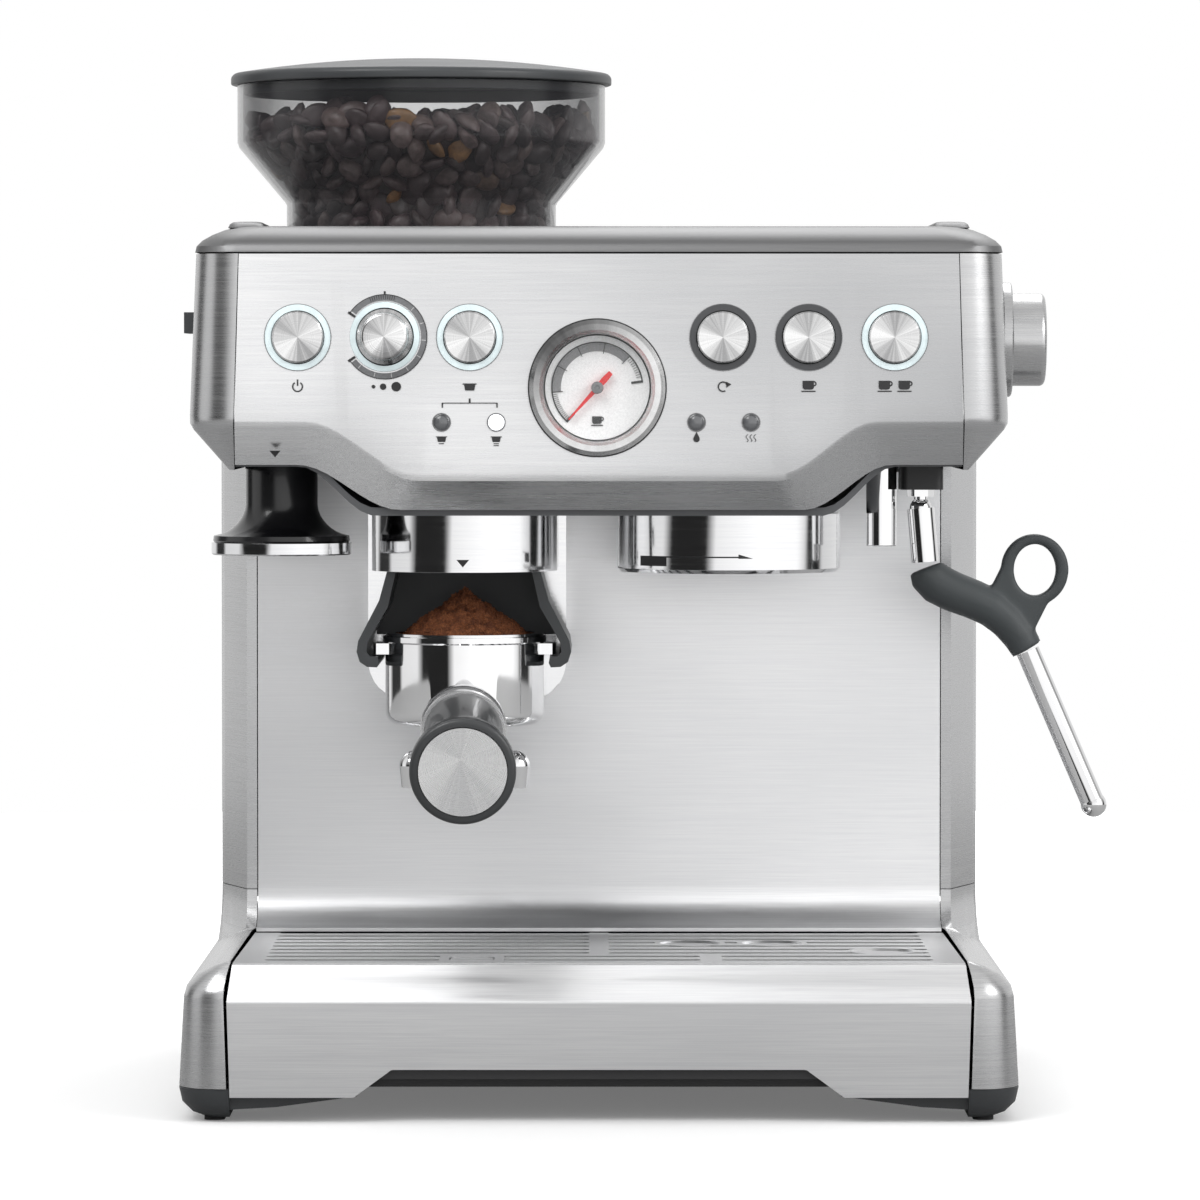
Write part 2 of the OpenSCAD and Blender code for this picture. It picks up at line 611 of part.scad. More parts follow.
module grind_amount_dial() {
    color(steel) facing(amount_dial[0], face_y, amount_dial[1]) difference() {
        rotate_extrude() polygon(concat([[0, -10], [10.4, -10], [10.4, 0.6], [9.2, 1.8]],
            arc(7.6, 11, 1.2, 1.4, 0, 90, 4), [[0, 12.4]]));
        translate([-0.5, 3.4, 11.6]) cube([1, 5, 3]);
    }
}
module grind_size_dial() {
    face_x = head_hw - 1.3;
    color(dark_grey) left_side() along_x(0, dial_y, size_dial_z) {
        translate([0, 0, face_x - 7]) cylinder(r = size_dial_r, h = 7);
        translate([-4, -18, face_x - 0.1]) cube([8, 36, -size_dial_x - face_x + 0.1]);
    }
}
module steam_dial() {
    x0 = head_hw + 0.2;
    x1 = 157.5;
    x2 = 170.4;
    color(steel) along_x(0, dial_y, dial_z) difference() {
        rotate_extrude() polygon(concat([[0, 118], [4, 118], [4, x0], [steam_dial_r + 4.2, x0],
            [steam_dial_r + 4.2, x1 - 0.6], [steam_dial_r + 3.6, x1], [steam_dial_r, x1]],
            arc(steam_dial_r - 2.2, x2 - 2.2, 2.2, 2.2, 0, 90, 5), [[0, x2]]));
        translate([-steam_dial_r + 3, -0.8, x2 - 0.6]) cube([9, 1.6, 2]);
    }
}
module gauge_bezel() {
    r = gauge_r;
    color(chrome) facing(gauge_x, face_y, gauge_z) rotate_extrude() polygon([
        [r - 1.4, -12], [r - 1.4, 0.3], [r, 0.3], [r, 3.2], [r - 1.6, 4.8], [r - 3.8, 4.8],
        [r - 5.2, 2.6], [r - 5.2, -3], [1.2 + fit, -3], [1.2 + fit, -6], [r - 3, -6], [r - 3, -12]]);
}
module gauge_needle() {
    color("crimson") facing(gauge_x, face_y, gauge_z) {
        translate([0, 0, -5.8]) cylinder(r = 1.2, h = 5);
        translate([0, 0, -1.6]) cylinder(r = 2.2, h = 1.8);
        translate([0, 0, -1.6]) rotate([0, 0, 228]) linear_extrude(0.9)
            polygon([[-7.6, -0.9], [-7.6, 0.9], [-4, 1.2], [0, 0.9],
                [16, 0.25], [16, -0.25], [0, -0.9], [-4, -1.2]]);
    }
}

// ---- Portafilter, held in the cradle ----

cap_at = [-49.2, handle_front_y, 133.7];
handle_tilt = 5.45;
handle_yaw = 1;
// Frame of the handle: its end cap is at the origin and +Z runs towards the bowl
module along_handle() { translate(cap_at) rotate([handle_tilt - 90, 0, handle_yaw]) children(); }
bowl_low_z = 143;

module portafilter() {
    color(chrome) difference() {
        union() {
            translate([grind_x, brew_y, 0]) {
                rotate_extrude() polygon(concat([[0, bowl_low_z]],
                    arc(bowl_r - 5, bowl_low_z + 5, 5, 5, -90, 0, 6),
                    [[bowl_r, rim_z - 2.6], [bowl_r + 0.9, rim_z - 2], [bowl_r + 0.9, rim_z], [0, rim_z]]));
                intersection() {
                    translate([0, 0, lug_z]) cylinder(r = lug_r, h = lug_h);
                    translate([-50, -10, 150]) cube([100, 20, 40]);
                }
                translate([0, 0, 128]) cylinder(r = 9, h = 16);
                // Double spout
                rod([-19, 0, 127], [19, 0, 127], 5.6);
                for (side = [-1, 1]) translate([side*19.4, 0, 0]) {
                    translate([0, 0, 127]) sphere(r = 5.8);
                    translate([0, 0, 118.6]) cylinder(r1 = 5, r2 = 5.8, h = 8.4);
                }
            }
            along_handle() {
                translate([0, 0, 108.4]) cylinder(r = 16.3, h = 4);
                translate([0, 0, 112.4]) cylinder(r1 = 16.3, r2 = 12.4, h = 10);
                translate([0, 0, 122.4]) cylinder(r = 12.4, h = 12);
            }
        }
        translate([grind_x, brew_y, bowl_low_z + 4]) cylinder(r = bowl_r - 2.4, h = 60);
        for (side = [-1, 1]) translate([grind_x + side*19.4, brew_y, 118]) cylinder(r = 3.4, h = 7);
    }
}
basket_r = bowl_r - 2.8;
module filter_basket() {
    t = 0.8;
    low = 158;
    color(steel) translate([grind_x, brew_y, 0]) rotate_extrude() polygon([
        [0, low], [basket_r - 1.2, low], [basket_r, low + 1.2], [basket_r, rim_z + 0.2],
        [bowl_r - 0.2, rim_z + 0.2], [bowl_r - 0.2, rim_z + 1.2], [basket_r - t, rim_z + 1.2],
        [basket_r - t, low + 1.6], [basket_r - 1.6, low + t], [0, low + t]]);
}
module ground_coffee() {
    r = basket_r - 1.1;
    color([0.30, 0.14, 0.07]) translate([grind_x, brew_y, 0]) rotate_extrude() polygon([
        [0, 159.2], [r - 1, 159.2], [r, 160.8], [r, 178.2], [23, 180], [15.6, 186.4], [8, 192.2],
        [3, 195.4], [0, 196]]);
}
module portafilter_handle() {
    color(black) along_handle() rotate_extrude() polygon(concat(
        [[0, 3], [handle_end_r - 3, 3], [handle_end_r - 3, 0.6]],
        arc(handle_end_r - 1.6, 2.2, 1.6, 1.6, -90, 0, 4),
        [[handle_end_r, 8], [handle_end_r - 1.4, 14], [14.6, 28], [13.4, 50], [14.2, 74], [14.8, 97.8],
        [12.6, 97.8], [12.6, 102.4], [15.2, 102.4], [15.2, 108.2], [0, 108.2]]));
}
module handle_cap() {
    color(steel) along_handle() {
        cylinder(r = handle_end_r - 3.3, h = 2.9);
        translate([0, 0, 98]) tube(15.8, 12.7, 4.2);
    }
}
module grind_switch() {
    color(black) facing(grind_x, plate_front_y - 2, switch_z) {
        translate([0, 0, -3]) cylinder(r = switch_r, h = 18);
        translate([0, 0, 15]) cylinder(r1 = switch_r, r2 = switch_r - 1.4, h = 1.4);
    }
}

// ---- Tamper ----

base_low_z = 208.8;
module tamper_base() {
    color(steel) translate([tamper_x, tamper_y, base_low_z]) {
        cylinder(r1 = tamper_r - 0.5, r2 = tamper_r, h = 0.5);
        translate([0, 0, 0.5]) cylinder(r = tamper_r, h = 4.1);
    }
}
module tamper_handle() {
    z0 = base_low_z + 4.6;
    neck = 13.8;
    color(black) translate([tamper_x, tamper_y, 0]) rotate_extrude() polygon(concat(
        [[0, z0], [tamper_r - 1.2, z0], [tamper_r - 0.6, z0 + 0.8], [tamper_r - 0.9, z0 + 2.6]],
        [for (i = [1:8]) let (a = i/8)
            [mix(tamper_r - 1.4, neck, 1 - pow(1 - a, 1.7)), z0 + 2.8 + 11.6*pow(a, 1.5)]],
        [[neck, 282]], arc(neck - 7, 282, 7, 7, 0, 90, 6), [[0, 289]]));
}

// ---- Drip tray ----

basin_top_z = tray_z - 2.4;
basin_rear_y = splash_y - 17;
module drip_tray() {
    t = 2;
    low = 16.2;
    // The front wall leans back behind the slope of the tray front
    color(black) translate([-basin_hw, 0, 0]) rotate([90, 0, 90]) difference() {
        linear_extrude(2*basin_hw) polygon([[front_y + 1.6, low], [basin_rear_y, low],
            [basin_rear_y, basin_top_z], [front_y + 10.4, basin_top_z], [front_y + 1.6, 43.2]]);
        translate([0, 0, t]) linear_extrude(2*basin_hw - 2*t) polygon([[front_y + 1.6 + t, low + t],
            [basin_rear_y - t, low + t], [basin_rear_y - t, tray_z], [front_y + 12.4 + t, tray_z],
            [front_y + 10.4 + t, basin_top_z], [front_y + 1.6 + t, 43]]);
    }
}
module tray_front() {
    t = 1.6;
    ridge_z = 45.1;
    top = tray_z - 0.5;
    color(steel) intersection() {
        translate([-140, 0, 0]) rotate([90, 0, 90]) linear_extrude(280) polygon([
            [front_y, 9.4], [front_y, ridge_z - 0.8], [front_y + 0.3, ridge_z + 0.3], [front_y + 8, top],
            [front_y + 8.2 + t, top], [front_y + 8.2 + t, top - 1], [front_y + t + 0.4, ridge_z - 0.4],
            [front_y + t, ridge_z - 1.4], [front_y + t, 9.4]]);
        translate([0, front_y + 20, 0]) rotate([90, 0, 0]) linear_extrude(30) difference() {
            polygon([[-136.9, 9], [136.9, 9], [138, ridge_z],
                [136.2, top + 1], [-136.2, top + 1], [-138, ridge_z]]);
            polygon(concat([[-91, 0]], [[-91, 9.4]], arc(-76, 17.4, 2.6, 2.4, 140, 90, 4),
                arc(76, 17.4, 2.6, 2.4, 90, 40, 4), [[91, 9.4], [91, 0]]));
        }
    }
}
slot_pitch = 15.5;
slot_w = 6;
slot_x = 3.6;
slot_end = 125;
float_x = -47.6;
float_y = front_y + 31;
// Dimples that show where cups stand, as [x, y]
cup_marks = [[35, brew_y], [66.6, brew_y], [spout_x, brew_y - 36]];
cup_mark_r = 12;
function slot_y(k) = front_y + 24 + k*slot_pitch;
module slot(x0, x1) { translate([(x0 + x1)/2, 0]) soft_rect(x1 - x0, slot_w, 2.6); }
module drip_grille() {
    thick = 2;
    front = front_y + 10.1;
    rear = basin_rear_y + 0.6;
    color(steel) {
        difference() {
            translate([0, 0, tray_z - thick]) linear_extrude(thick)
                polygon([[-136.2, front], [136.2, front], [134.8, rear], [-134.8, rear]]);
            difference() {
                for (k = [0:8]) translate([0, slot_y(k), tray_z - thick - 1]) linear_extrude(thick + 2) {
                    // The two front rows stop at the float's plate
                    slot(-slot_end, k < 2 ? float_x - 12 : -slot_x);
                    if (k < 2) slot(float_x + 12, 38);
                    slot(k < 2 ? 46 : slot_x, slot_end);
                }
                for (c = cup_marks) translate([c[0], c[1], tray_z - thick - 2])
                    cylinder(r = cup_mark_r + 1.6, h = thick + 4);
            }
            for (c = cup_marks) translate([c[0], c[1], tray_z - 0.8])
                cylinder(r1 = cup_mark_r - 1, r2 = cup_mark_r, h = 1);
            translate([float_x, float_y, tray_z - thick - 1]) linear_extrude(thick + 2) soft_rect(17, 15, 3);
        }
    }
}
module tray_float() {
    color("firebrick") translate([float_x, float_y, 0]) {
        translate([0, 0, 47.8]) linear_extrude(tray_z - 48.2) soft_rect(16, 14, 2.6);
        translate([0, 0, 36]) linear_extrude(12) soft_rect(26, 22, 3);
    }
}

// ---- Water tank ----

tank_hw = 110;
tank_mid_y = (tank_wall_y + 6 + rear_y)/2;
tank_d = rear_y - tank_wall_y - 6;
tank_low_z = 62.8;
tank_top_z = top_z - 10.6;
module water_tank() {
    t = 2.4;
    color(smoke) difference() {
        union() {
            translate([0, tank_mid_y, tank_low_z]) linear_extrude(tank_top_z - tank_low_z)
                soft_rect(2*tank_hw, tank_d, 10);
            translate([60, tank_mid_y, 57]) cylinder(r = 7.6, h = 6);
        }
        translate([0, tank_mid_y, tank_low_z + t]) linear_extrude(tank_top_z)
            soft_rect(2*tank_hw - 2*t, tank_d - 2*t, 8);
        translate([60, tank_mid_y, 50]) cylinder(r = 3, h = 30);
    }
}
module tank_lid() {
    color(dark_grey) {
        translate([0, tank_mid_y, tank_top_z + 0.3]) linear_extrude(7) soft_rect(2*tank_hw, tank_d, 9);
        // Folding grip that lifts the tank
        translate([0, tank_mid_y + 4, tank_top_z + 7.2]) difference() {
            linear_extrude(3) soft_rect(90, 24, 8);
            translate([0, 0, -1]) linear_extrude(6) soft_rect(70, 10, 4);
        }
    }
}

// ---- Hopper ----

hopper_low_z = 300;
module hopper() {
    t = 2.2;
    color(smoke) translate([hopper_x, hopper_y, 0]) rotate_extrude() polygon([
        [18, hopper_low_z], [neck_r, hopper_low_z], [neck_r, 344.6], [neck_r + 0.6, 345.8],
        [hopper_r - 0.8, 367.4], [hopper_r, 369.6], [hopper_r, hopper_rim_z], [hopper_r - t, hopper_rim_z],
        [hopper_r - t, 370.2], [neck_r - t, 346.4], [neck_r - t, hopper_low_z + 3], [18, hopper_low_z + 3]]);
}
module coffee_beans() {
    t = 2.9;
    color([0.16, 0.11, 0.09]) translate([hopper_x, hopper_y, 0]) rotate_extrude() polygon([
        [0, hopper_low_z + 3.2], [neck_r - t, hopper_low_z + 3.2], [neck_r - t, 346.8], [hopper_r - t, 370.6],
        [hopper_r - t, 380.6], [58, 382.4], [30, 384.8], [0, 385.8]]);
}
module hopper_lid() {
    r = hopper_r + 2.5;
    z = hopper_rim_z + 0.4;
    color(dark_grey) translate([hopper_x, hopper_y, 0]) rotate_extrude() polygon(concat(
        [[0, z + 3.4], [hopper_r - 5, z + 1], [hopper_r - 5, z - 4], [hopper_r - 2.8, z - 4],
        [hopper_r - 2.8, z], [r, z], [r, z + 3], [r - 1.2, z + 4.4]],
        [for (i = [1:9]) let (q = 1 - i/10) [(r - 1.2)*q, z + 4.4 + 6*(1 - q*q)]], [[0, z + 10.4]]));
}

// ---- Grinder ----

gear_module = 1.2;
burr_teeth = 36;
pinion_teeth = 12;
gear_z = 241.6;
gear_h = 7;
motor_x = hopper_x + gear_module*(burr_teeth + pinion_teeth)/2;
shaft_r = 4;
pinion_r = 3;

// Straight-toothed gear whose first tooth points along +X
module gear(teeth) {
    pitch_r = gear_module*teeth/2;
    root_r = pitch_r - 1.5;
    linear_extrude(gear_h) {
        circle(root_r);
        for (k = [0:teeth - 1]) rotate(k*360/teeth)
            polygon([[root_r - 0.5, -1.15], [pitch_r, -0.72], [pitch_r + 1, -0.35],
                [pitch_r + 1, 0.35], [pitch_r, 0.72], [root_r - 0.5, 1.15]]);
    }
}
module chute(inset) {
    hull() {
        translate([grind_x, brew_y, 256 + inset]) cylinder(r = 17 - inset, h = 24 - 2*inset, $fn = 32);
        translate([hopper_x + 6, hopper_y - 28, 256 + inset])
            cylinder(r = 14 - inset, h = 24 - 2*inset, $fn = 32);
    }
}
module grinder_housing() {
    color(dark_grey) difference() {
        union() {
            translate([hopper_x, hopper_y, 252]) cylinder(r = 34, h = 46);
            chute(0);
            translate([grind_x, brew_y, 250.4]) cylinder(r = 17, h = 10);
            translate([hopper_x, hopper_y + 3.6, 236]) linear_extrude(3) soft_rect(112, 69, 10);
            for (x = [-1, 1], y = [-1, 1]) translate([hopper_x + x*27.5, hopper_y + y*24, 238])
                cylinder(r = 4, h = 15);
        }
        difference() {
            union() {
                translate([hopper_x, hopper_y, 255]) cylinder(r = 30.6, h = 50);
                chute(2.4);
            }
            // Ring burr, fixed in the chamber
            translate([hopper_x, hopper_y, 268]) difference() {
                cylinder(r = 31, h = 20);
                translate([0, 0, -0.1]) cylinder(r1 = 21.5, r2 = 25, h = 20.2);
            }
        }
        translate([grind_x, brew_y, 240]) cylinder(r = 14.6, h = 24);
        translate([hopper_x, hopper_y, 230]) cylinder(r = shaft_r + fit, h = 30);
        translate([motor_x, hopper_y, 230]) cylinder(r = pinion_r + fit, h = 12);
    }
}
module cone_burr() {
    color(steel) translate([hopper_x, hopper_y, 0]) {
        translate([0, 0, gear_z]) gear(burr_teeth);
        translate([0, 0, 234.4]) cylinder(r = shaft_r, h = 30);
        difference() {
            translate([0, 0, 262]) cylinder(r1 = 20.6, r2 = 9, h = 28);
            for (k = [0:7]) rotate([0, 0, k*45]) translate([9, -1, 258])
                rotate([0, -12, 0]) cube([14, 2, 40]);
        }
    }
}
module motor_pinion() {
    color(brass) translate([motor_x, hopper_y, 0]) {
        translate([0, 0, gear_z]) rotate([0, 0, 180/pinion_teeth]) gear(pinion_teeth);
        translate([0, 0, 224]) cylinder(r = pinion_r, h = gear_z - 224 + 1);
    }
}
module grinder_motor() {
    color(steel) translate([motor_x, hopper_y, 0]) difference() {
        union() {
            translate([0, 0, 156]) cylinder(r = 31, h = 72);
            translate([0, 0, 228]) cylinder(r = 12, h = 7.6);
            translate([0, 0, 148]) cylinder(r = 12, h = 9);
        }
        translate([0, 0, 222]) cylinder(r = pinion_r + fit, h = 20);
    }
}

// ---- Boiler, pump, valve, board and hoses ----

heater_at = [62, 54];
pump_y = 45;
pump_z = 92;
valve_z0 = 104;
hose_r = 3;
module heater() {
    color(steel) translate([heater_at[0], heater_at[1], 0]) {
        translate([0, 0, 124]) cylinder(r = 33, h = 60);
        for (z = [130, 174]) translate([0, 0, z]) tube(35, 32.5, 4);
        for (x = [-10, 14]) translate([x, 0, 184]) cylinder(r = 4.6, h = 5);
        translate([-22, -9, 118]) cylinder(r = 4.6, h = 7);
    }
}
module pump() {
    color(black) {
        along_x(14, pump_y, pump_z) {
            cylinder(r = 16, h = 26);
            translate([0, 0, 25]) cylinder(r = 21, h = 36);
            translate([0, 0, 60]) cylinder(r = 9, h = 14);
        }
        translate([40, pump_y, pump_z + 19]) cylinder(r = 4.6, h = 6);
        translate([60, pump_y, pump_z - 26]) cylinder(r = 4.6, h = 8);
    }
}
module steam_valve() {
    color(brass) along_x(0, dial_y, dial_z) difference() {
        union() {
            translate([0, 0, valve_z0]) cylinder(r = 11, h = 30);
            translate([0, 0, valve_z0 + 10]) rotate([0, 90, 0]) cylinder(r = 4.6, h = 14);
        }
        translate([0, 0, 117]) cylinder(r = 4 + fit, h = 30);
    }
}
module control_board() {
    y = face_y + 27;
    color("darkgreen") box([-30, y, 252], [92, y + 1.6, 310]);
    color(black) for (x = [-16, 14, 44, 74], z = [268, 292])
        translate([x, y + 1.6, z]) rotate([-90, 0, 0]) cylinder(r = 5, h = 12);
}
module hose(points) {
    for (k = [0:len(points) - 2]) rod(points[k], points[k + 1], hose_r);
    for (k = [1:len(points) - 2]) translate(points[k]) sphere(r = hose_r + 0.5);
}
module water_hoses() {
    hx = heater_at[0];
    hy = heater_at[1];
    color([0.85, 0.85, 0.82]) {
        hose([[60, tank_mid_y, 56.6], [60, tank_mid_y, 48], [60, pump_y, 48], [60, pump_y, pump_z - 26.2]]);
        hose([[40, pump_y, pump_z + 25.2], [40, pump_y, 117.8]]);
        hose([[hx - 10, hy, 189.2], [hx - 10, hy, 264], [group_x, brew_y, 264],
            [group_x, brew_y, under_z + 24.2]]);
        hose([[hx + 14, hy, 189.2], [hx + 14, hy, 266], [114, dial_y, 266], [114, dial_y, 276.5]]);
    }
}

in_frame() base_pan();
in_frame() corner_feet();
in_frame() rubber_pads();
in_frame() left_base_cover();
in_frame() right_base_cover();
in_frame() left_side_panel();
in_frame() right_side_panel();
in_frame() back_panel();
in_frame() top_cover();
in_frame() front_panel();
in_frame() lower_fascia();
in_frame() rear_cover();
in_frame() cord_gland();
in_frame() group_head();
in_frame() shower_screen();
in_frame() grinder_outlet();
in_frame() cradle();
in_frame() hot_water_spout();
in_frame() wand_bracket();
in_frame() panel_lights();
in_frame() gauge_bezel();
in_frame() heater();
in_frame() pump();
in_frame() steam_valve();
in_frame() grinder_housing();
in_frame() grinder_motor();
in_frame() control_board();
in_frame() water_hoses();
in_frame() case_screws();
in_frame() hopper();
in_frame() coffee_beans();
in_frame() hopper_lid();
in_frame() power_button();
in_frame() filter_button();
in_frame() program_button();
in_frame() one_cup_button();
in_frame() two_cup_button();
in_frame() grind_amount_dial();
in_frame() grind_size_dial();
in_frame() steam_dial();
in_frame() wand_ball();
in_frame() wand_tube();
in_frame() wand_grip();
in_frame() portafilter();
in_frame() filter_basket();
in_frame() ground_coffee();
in_frame() portafilter_handle();
in_frame() handle_cap();
in_frame() grind_switch();
in_frame() tamper_handle();
in_frame() tamper_base();
in_frame() drip_tray();
in_frame() tray_front();
in_frame() drip_grille();
in_frame() tray_float();
in_frame() water_tank();
in_frame() tank_lid();
in_frame() gauge_needle();
in_frame() cone_burr();
in_frame() motor_pinion();
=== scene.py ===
"""Looks of the espresso machine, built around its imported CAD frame. Metres, in the frame's own axes."""
import math

import bmesh
import bpy
import numpy as np
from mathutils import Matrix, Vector, noise


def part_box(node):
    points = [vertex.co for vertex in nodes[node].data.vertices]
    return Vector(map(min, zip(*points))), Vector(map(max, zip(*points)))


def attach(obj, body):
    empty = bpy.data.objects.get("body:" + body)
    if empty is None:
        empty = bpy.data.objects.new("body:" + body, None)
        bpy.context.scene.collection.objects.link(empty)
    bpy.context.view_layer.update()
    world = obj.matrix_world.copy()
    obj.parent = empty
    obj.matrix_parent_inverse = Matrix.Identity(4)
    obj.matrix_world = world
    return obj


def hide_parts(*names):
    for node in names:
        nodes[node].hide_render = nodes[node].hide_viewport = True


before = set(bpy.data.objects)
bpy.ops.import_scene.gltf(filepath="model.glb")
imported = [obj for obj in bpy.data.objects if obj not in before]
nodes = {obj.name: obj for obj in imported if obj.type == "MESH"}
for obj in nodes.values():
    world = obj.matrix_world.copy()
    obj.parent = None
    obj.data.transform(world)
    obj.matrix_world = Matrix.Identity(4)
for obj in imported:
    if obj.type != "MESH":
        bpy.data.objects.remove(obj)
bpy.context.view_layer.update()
MM = 0.001
TAU = 2 * math.pi
dice = np.random.default_rng(11)


def middle(name):
    """Centre of a CAD node's box."""
    low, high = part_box(name)
    return (low + high) / 2


# ---- Places, all worked out from the frame ----

gauge = middle("gauge_bezel")
amount_dial = middle("grind_amount_dial")
BUTTONS = ["power_button", "filter_button", "program_button", "one_cup_button", "two_cup_button"]
LIT_BUTTONS = ["power_button", "filter_button", "two_cup_button"]
body_x = gauge.x + 0.6 * MM
FOLD_Z = 259 * MM
PANEL_LEAN = 0.05
panel_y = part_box("front_panel")[0].y
LAMP_Z = 259.5 * MM
LAMPS_X = [body_x + dx * MM for dx in (-58.7, -38.3, 36.4, 56.7)]
LIT_LAMP_X = LAMPS_X[1]
# Heights within a node, which its box doesn't give
HOPPER_CONE_Z = (346.8 * MM, 370.6 * MM)
LOWEST_BEANS_Z = 326 * MM
BEAN_CORE_TOP_Z = 371.5 * MM
BASKET_RIM_Z = 178.4 * MM
NUT_TOP_Z = 233.5 * MM
SLOPE_TOP_Z = 247.5 * MM
TAMPER_MARK_Z = 247.6 * MM
OUTLET_MARK_Z = 205.6 * MM
LOCK_MARK_Z = 207.6 * MM
# Radii of round faces that carry marks, and of the thin joints round a button's ring and a lamp
OUTLET_R = 35.6 * MM
GROUP_R = 42.9 * MM
DIAL_PLATE_R = 20.15 * MM
BUTTON_JOINT = (12.3 * MM, 12.55 * MM)
LAMP_JOINT = (3.1 * MM, 3.5 * MM)
# Degrees of a full ring, which stops just short so that its outline never meets itself
ALL_ROUND = (0, 359.9)


def on_panel(x, z):
    """Y of the leaning front panel."""
    return panel_y + PANEL_LEAN * (z - FOLD_Z) - 0.0001


def on_round(node, radius):
    """Y of the front of an upright cylinder, as a function of X."""
    centre = middle(node)

    def surface(x, z):
        return centre.y - math.sqrt(max(radius**2 - (x - centre.x) ** 2, 0)) - 0.0001

    return surface


# ---- Node helpers ----


class Look:
    """A node material: sockets set by name, and a few patterns in the object's own coordinates."""

    def __init__(self, name, **sockets):
        self.material = bpy.data.materials.new(name)
        self.material.use_nodes = True
        self.tree = self.material.node_tree
        self.shader = self.tree.nodes["Principled BSDF"]
        for key, value in sockets.items():
            self.shader.inputs[key.replace("_", " ")].default_value = value

    def add(self, kind, inputs=(), **settings):
        node = self.tree.nodes.new("ShaderNode" + kind)
        for key, value in settings.items():
            setattr(node, key, value)
        for key, value in dict(inputs).items():
            if isinstance(value, bpy.types.NodeSocket):
                self.tree.links.new(value, node.inputs[key])
            else:
                node.inputs[key].default_value = value
        return node

    def place(self):
        return self.add("TexCoord").outputs["Object"]

    def noise(self, scale, detail=2, offset=0.0, coordinate=None):
        mapping = self.add("Mapping", {"Vector": coordinate or self.place(), "Scale": scale,
                                       "Location": (offset, offset * 0.7, offset * 1.3)})
        texture = self.add("TexNoise", {"Vector": mapping.outputs[0], "Scale": 1, "Detail": detail})
        return texture.outputs[0]

    def between(self, value, low, high, start=0.3, end=0.7):
        return self.add("MapRange", {"Value": value, "From Min": start, "From Max": end,
                                     "To Min": low, "To Max": high}).outputs[0]

    def math(self, operation, a, b=0.0):
        return self.add("Math", {0: a, 1: b}, operation=operation).outputs[0]

    def blend(self, amount, a, b):
        node = self.add("Mix", data_type="RGBA")
        for socket, value in ((node.inputs[0], amount), (node.inputs[6], a), (node.inputs[7], b)):
            if isinstance(value, bpy.types.NodeSocket):
                self.tree.links.new(value, socket)
            else:
                socket.default_value = value if isinstance(value, float) else (*value, 1)
        return node.outputs[2]

    def to(self, socket, value):
        self.tree.links.new(value, self.shader.inputs[socket])

    def bump(self, height, strength, distance):
        node = self.add("Bump", {"Height": height, "Strength": strength, "Distance": distance})
        self.to("Normal", node.outputs[0])


def shade(grey, tint=(1, 1, 1)):
    return tuple(grey * t for t in tint)


def fill_ramp(node, stops):
    elements = node.color_ramp.elements
    elements.remove(elements[1])
    elements[0].position, elements[0].color = stops[0][0], (*stops[0][1], 1)
    for at, colour in stops[1:]:
        elements.new(at).color = (*colour, 1)


# ---- Materials ----

# Noise scales that draw the brush lines along X, or along both X and Y
GRAIN = {"x": (45, 3300, 3300), "xy": (45, 45, 3300)}


def brushed(name, grey=0.6, rough=0.27, grain="x", contrast=0.07, streaks=1.0, painted_shade=None):
    """Steel with fine brush lines. An optional (start, end, fade) paints shade into the colour: the sheet
    darkens by fade from start to end.
    """
    look = Look(name, Metallic=1, Anisotropic=0.35)
    fine = look.noise(GRAIN[grain], 3)
    coarse = look.noise([g * 0.3 for g in GRAIN[grain]], 2, 3.1)
    cloud = look.noise((6, 6, 11), 2, 5.7)
    lines = look.math("ADD", look.math("MULTIPLY", fine, 0.6), look.math("MULTIPLY", coarse, 0.4))
    low, high = grey * (1 - contrast), grey * (1 + contrast)
    colour = look.blend(look.between(lines, 0.0, 1.0, 0.36, 0.64), shade(low, (1, 1, 1.015)), shade(high))
    patchy_and_shaded = look.blend(look.between(cloud, 0.0, 0.5), colour, shade(grey * 0.8, (0.99, 1, 1.02)))
    # Painted shade: a gradient darkens the colour across the sheet, standing in for light that falls off over
    # it.
    if painted_shade:
        start, end, fade = painted_shade
        way = end - start
        from_start = look.add("VectorMath", {0: look.place(), 1: start}, operation="SUBTRACT").outputs[0]
        along = look.add("VectorMath", {0: from_start, 1: way / way.length_squared},
                         operation="DOT_PRODUCT").outputs["Value"]
        soft = look.math("ADD", along, look.between(cloud, -0.12, 0.12))
        patchy_and_shaded = look.blend(look.between(soft, 0.0, fade, 0.0, 1.0), patchy_and_shaded, shade(grey * 0.4, (0.99, 1, 1.02)))
    look.to("Base Color", patchy_and_shaded)
    look.to("Roughness", look.between(lines, rough - 0.03, rough + 0.05))
    look.bump(lines, 0.12 * streaks, 0.00004)
    return look.material


def chrome(name, grey=0.86, rough=0.045):
    look = Look(name, Metallic=1)
    smudge = look.noise((60, 60, 60), 4)
    shine = look.blend(look.between(smudge, 0.0, 1.0), shade(grey * 0.95), shade(grey, (1, 1, 1.01)))
    look.to("Base Color", shine)
    look.to("Roughness", look.between(smudge, rough, rough + 0.05))
    look.bump(look.noise((35, 35, 35), 1, 2.2), 0.05, 0.0004)
    return look.material


def plastic(name, colour, rough=0.42, coat=0.0, texture=0.25, wear=0.2):
    look = Look(name, Coat_Weight=coat, Coat_Roughness=0.06, Specular_IOR_Level=0.5)
    speckle = look.noise((900, 900, 900), 3)
    patches = look.noise((22, 22, 22), 3, 1.9)
    bright = tuple(c * (1 + wear) for c in colour)
    dull = tuple(c * (1 - wear) for c in colour)
    look.to("Base Color", look.blend(look.between(patches, 0.0, 1.0), dull, bright))
    look.to("Roughness", look.between(patches, rough - 0.05, rough + 0.06))
    look.bump(speckle, texture, 0.00012)
    return look.material


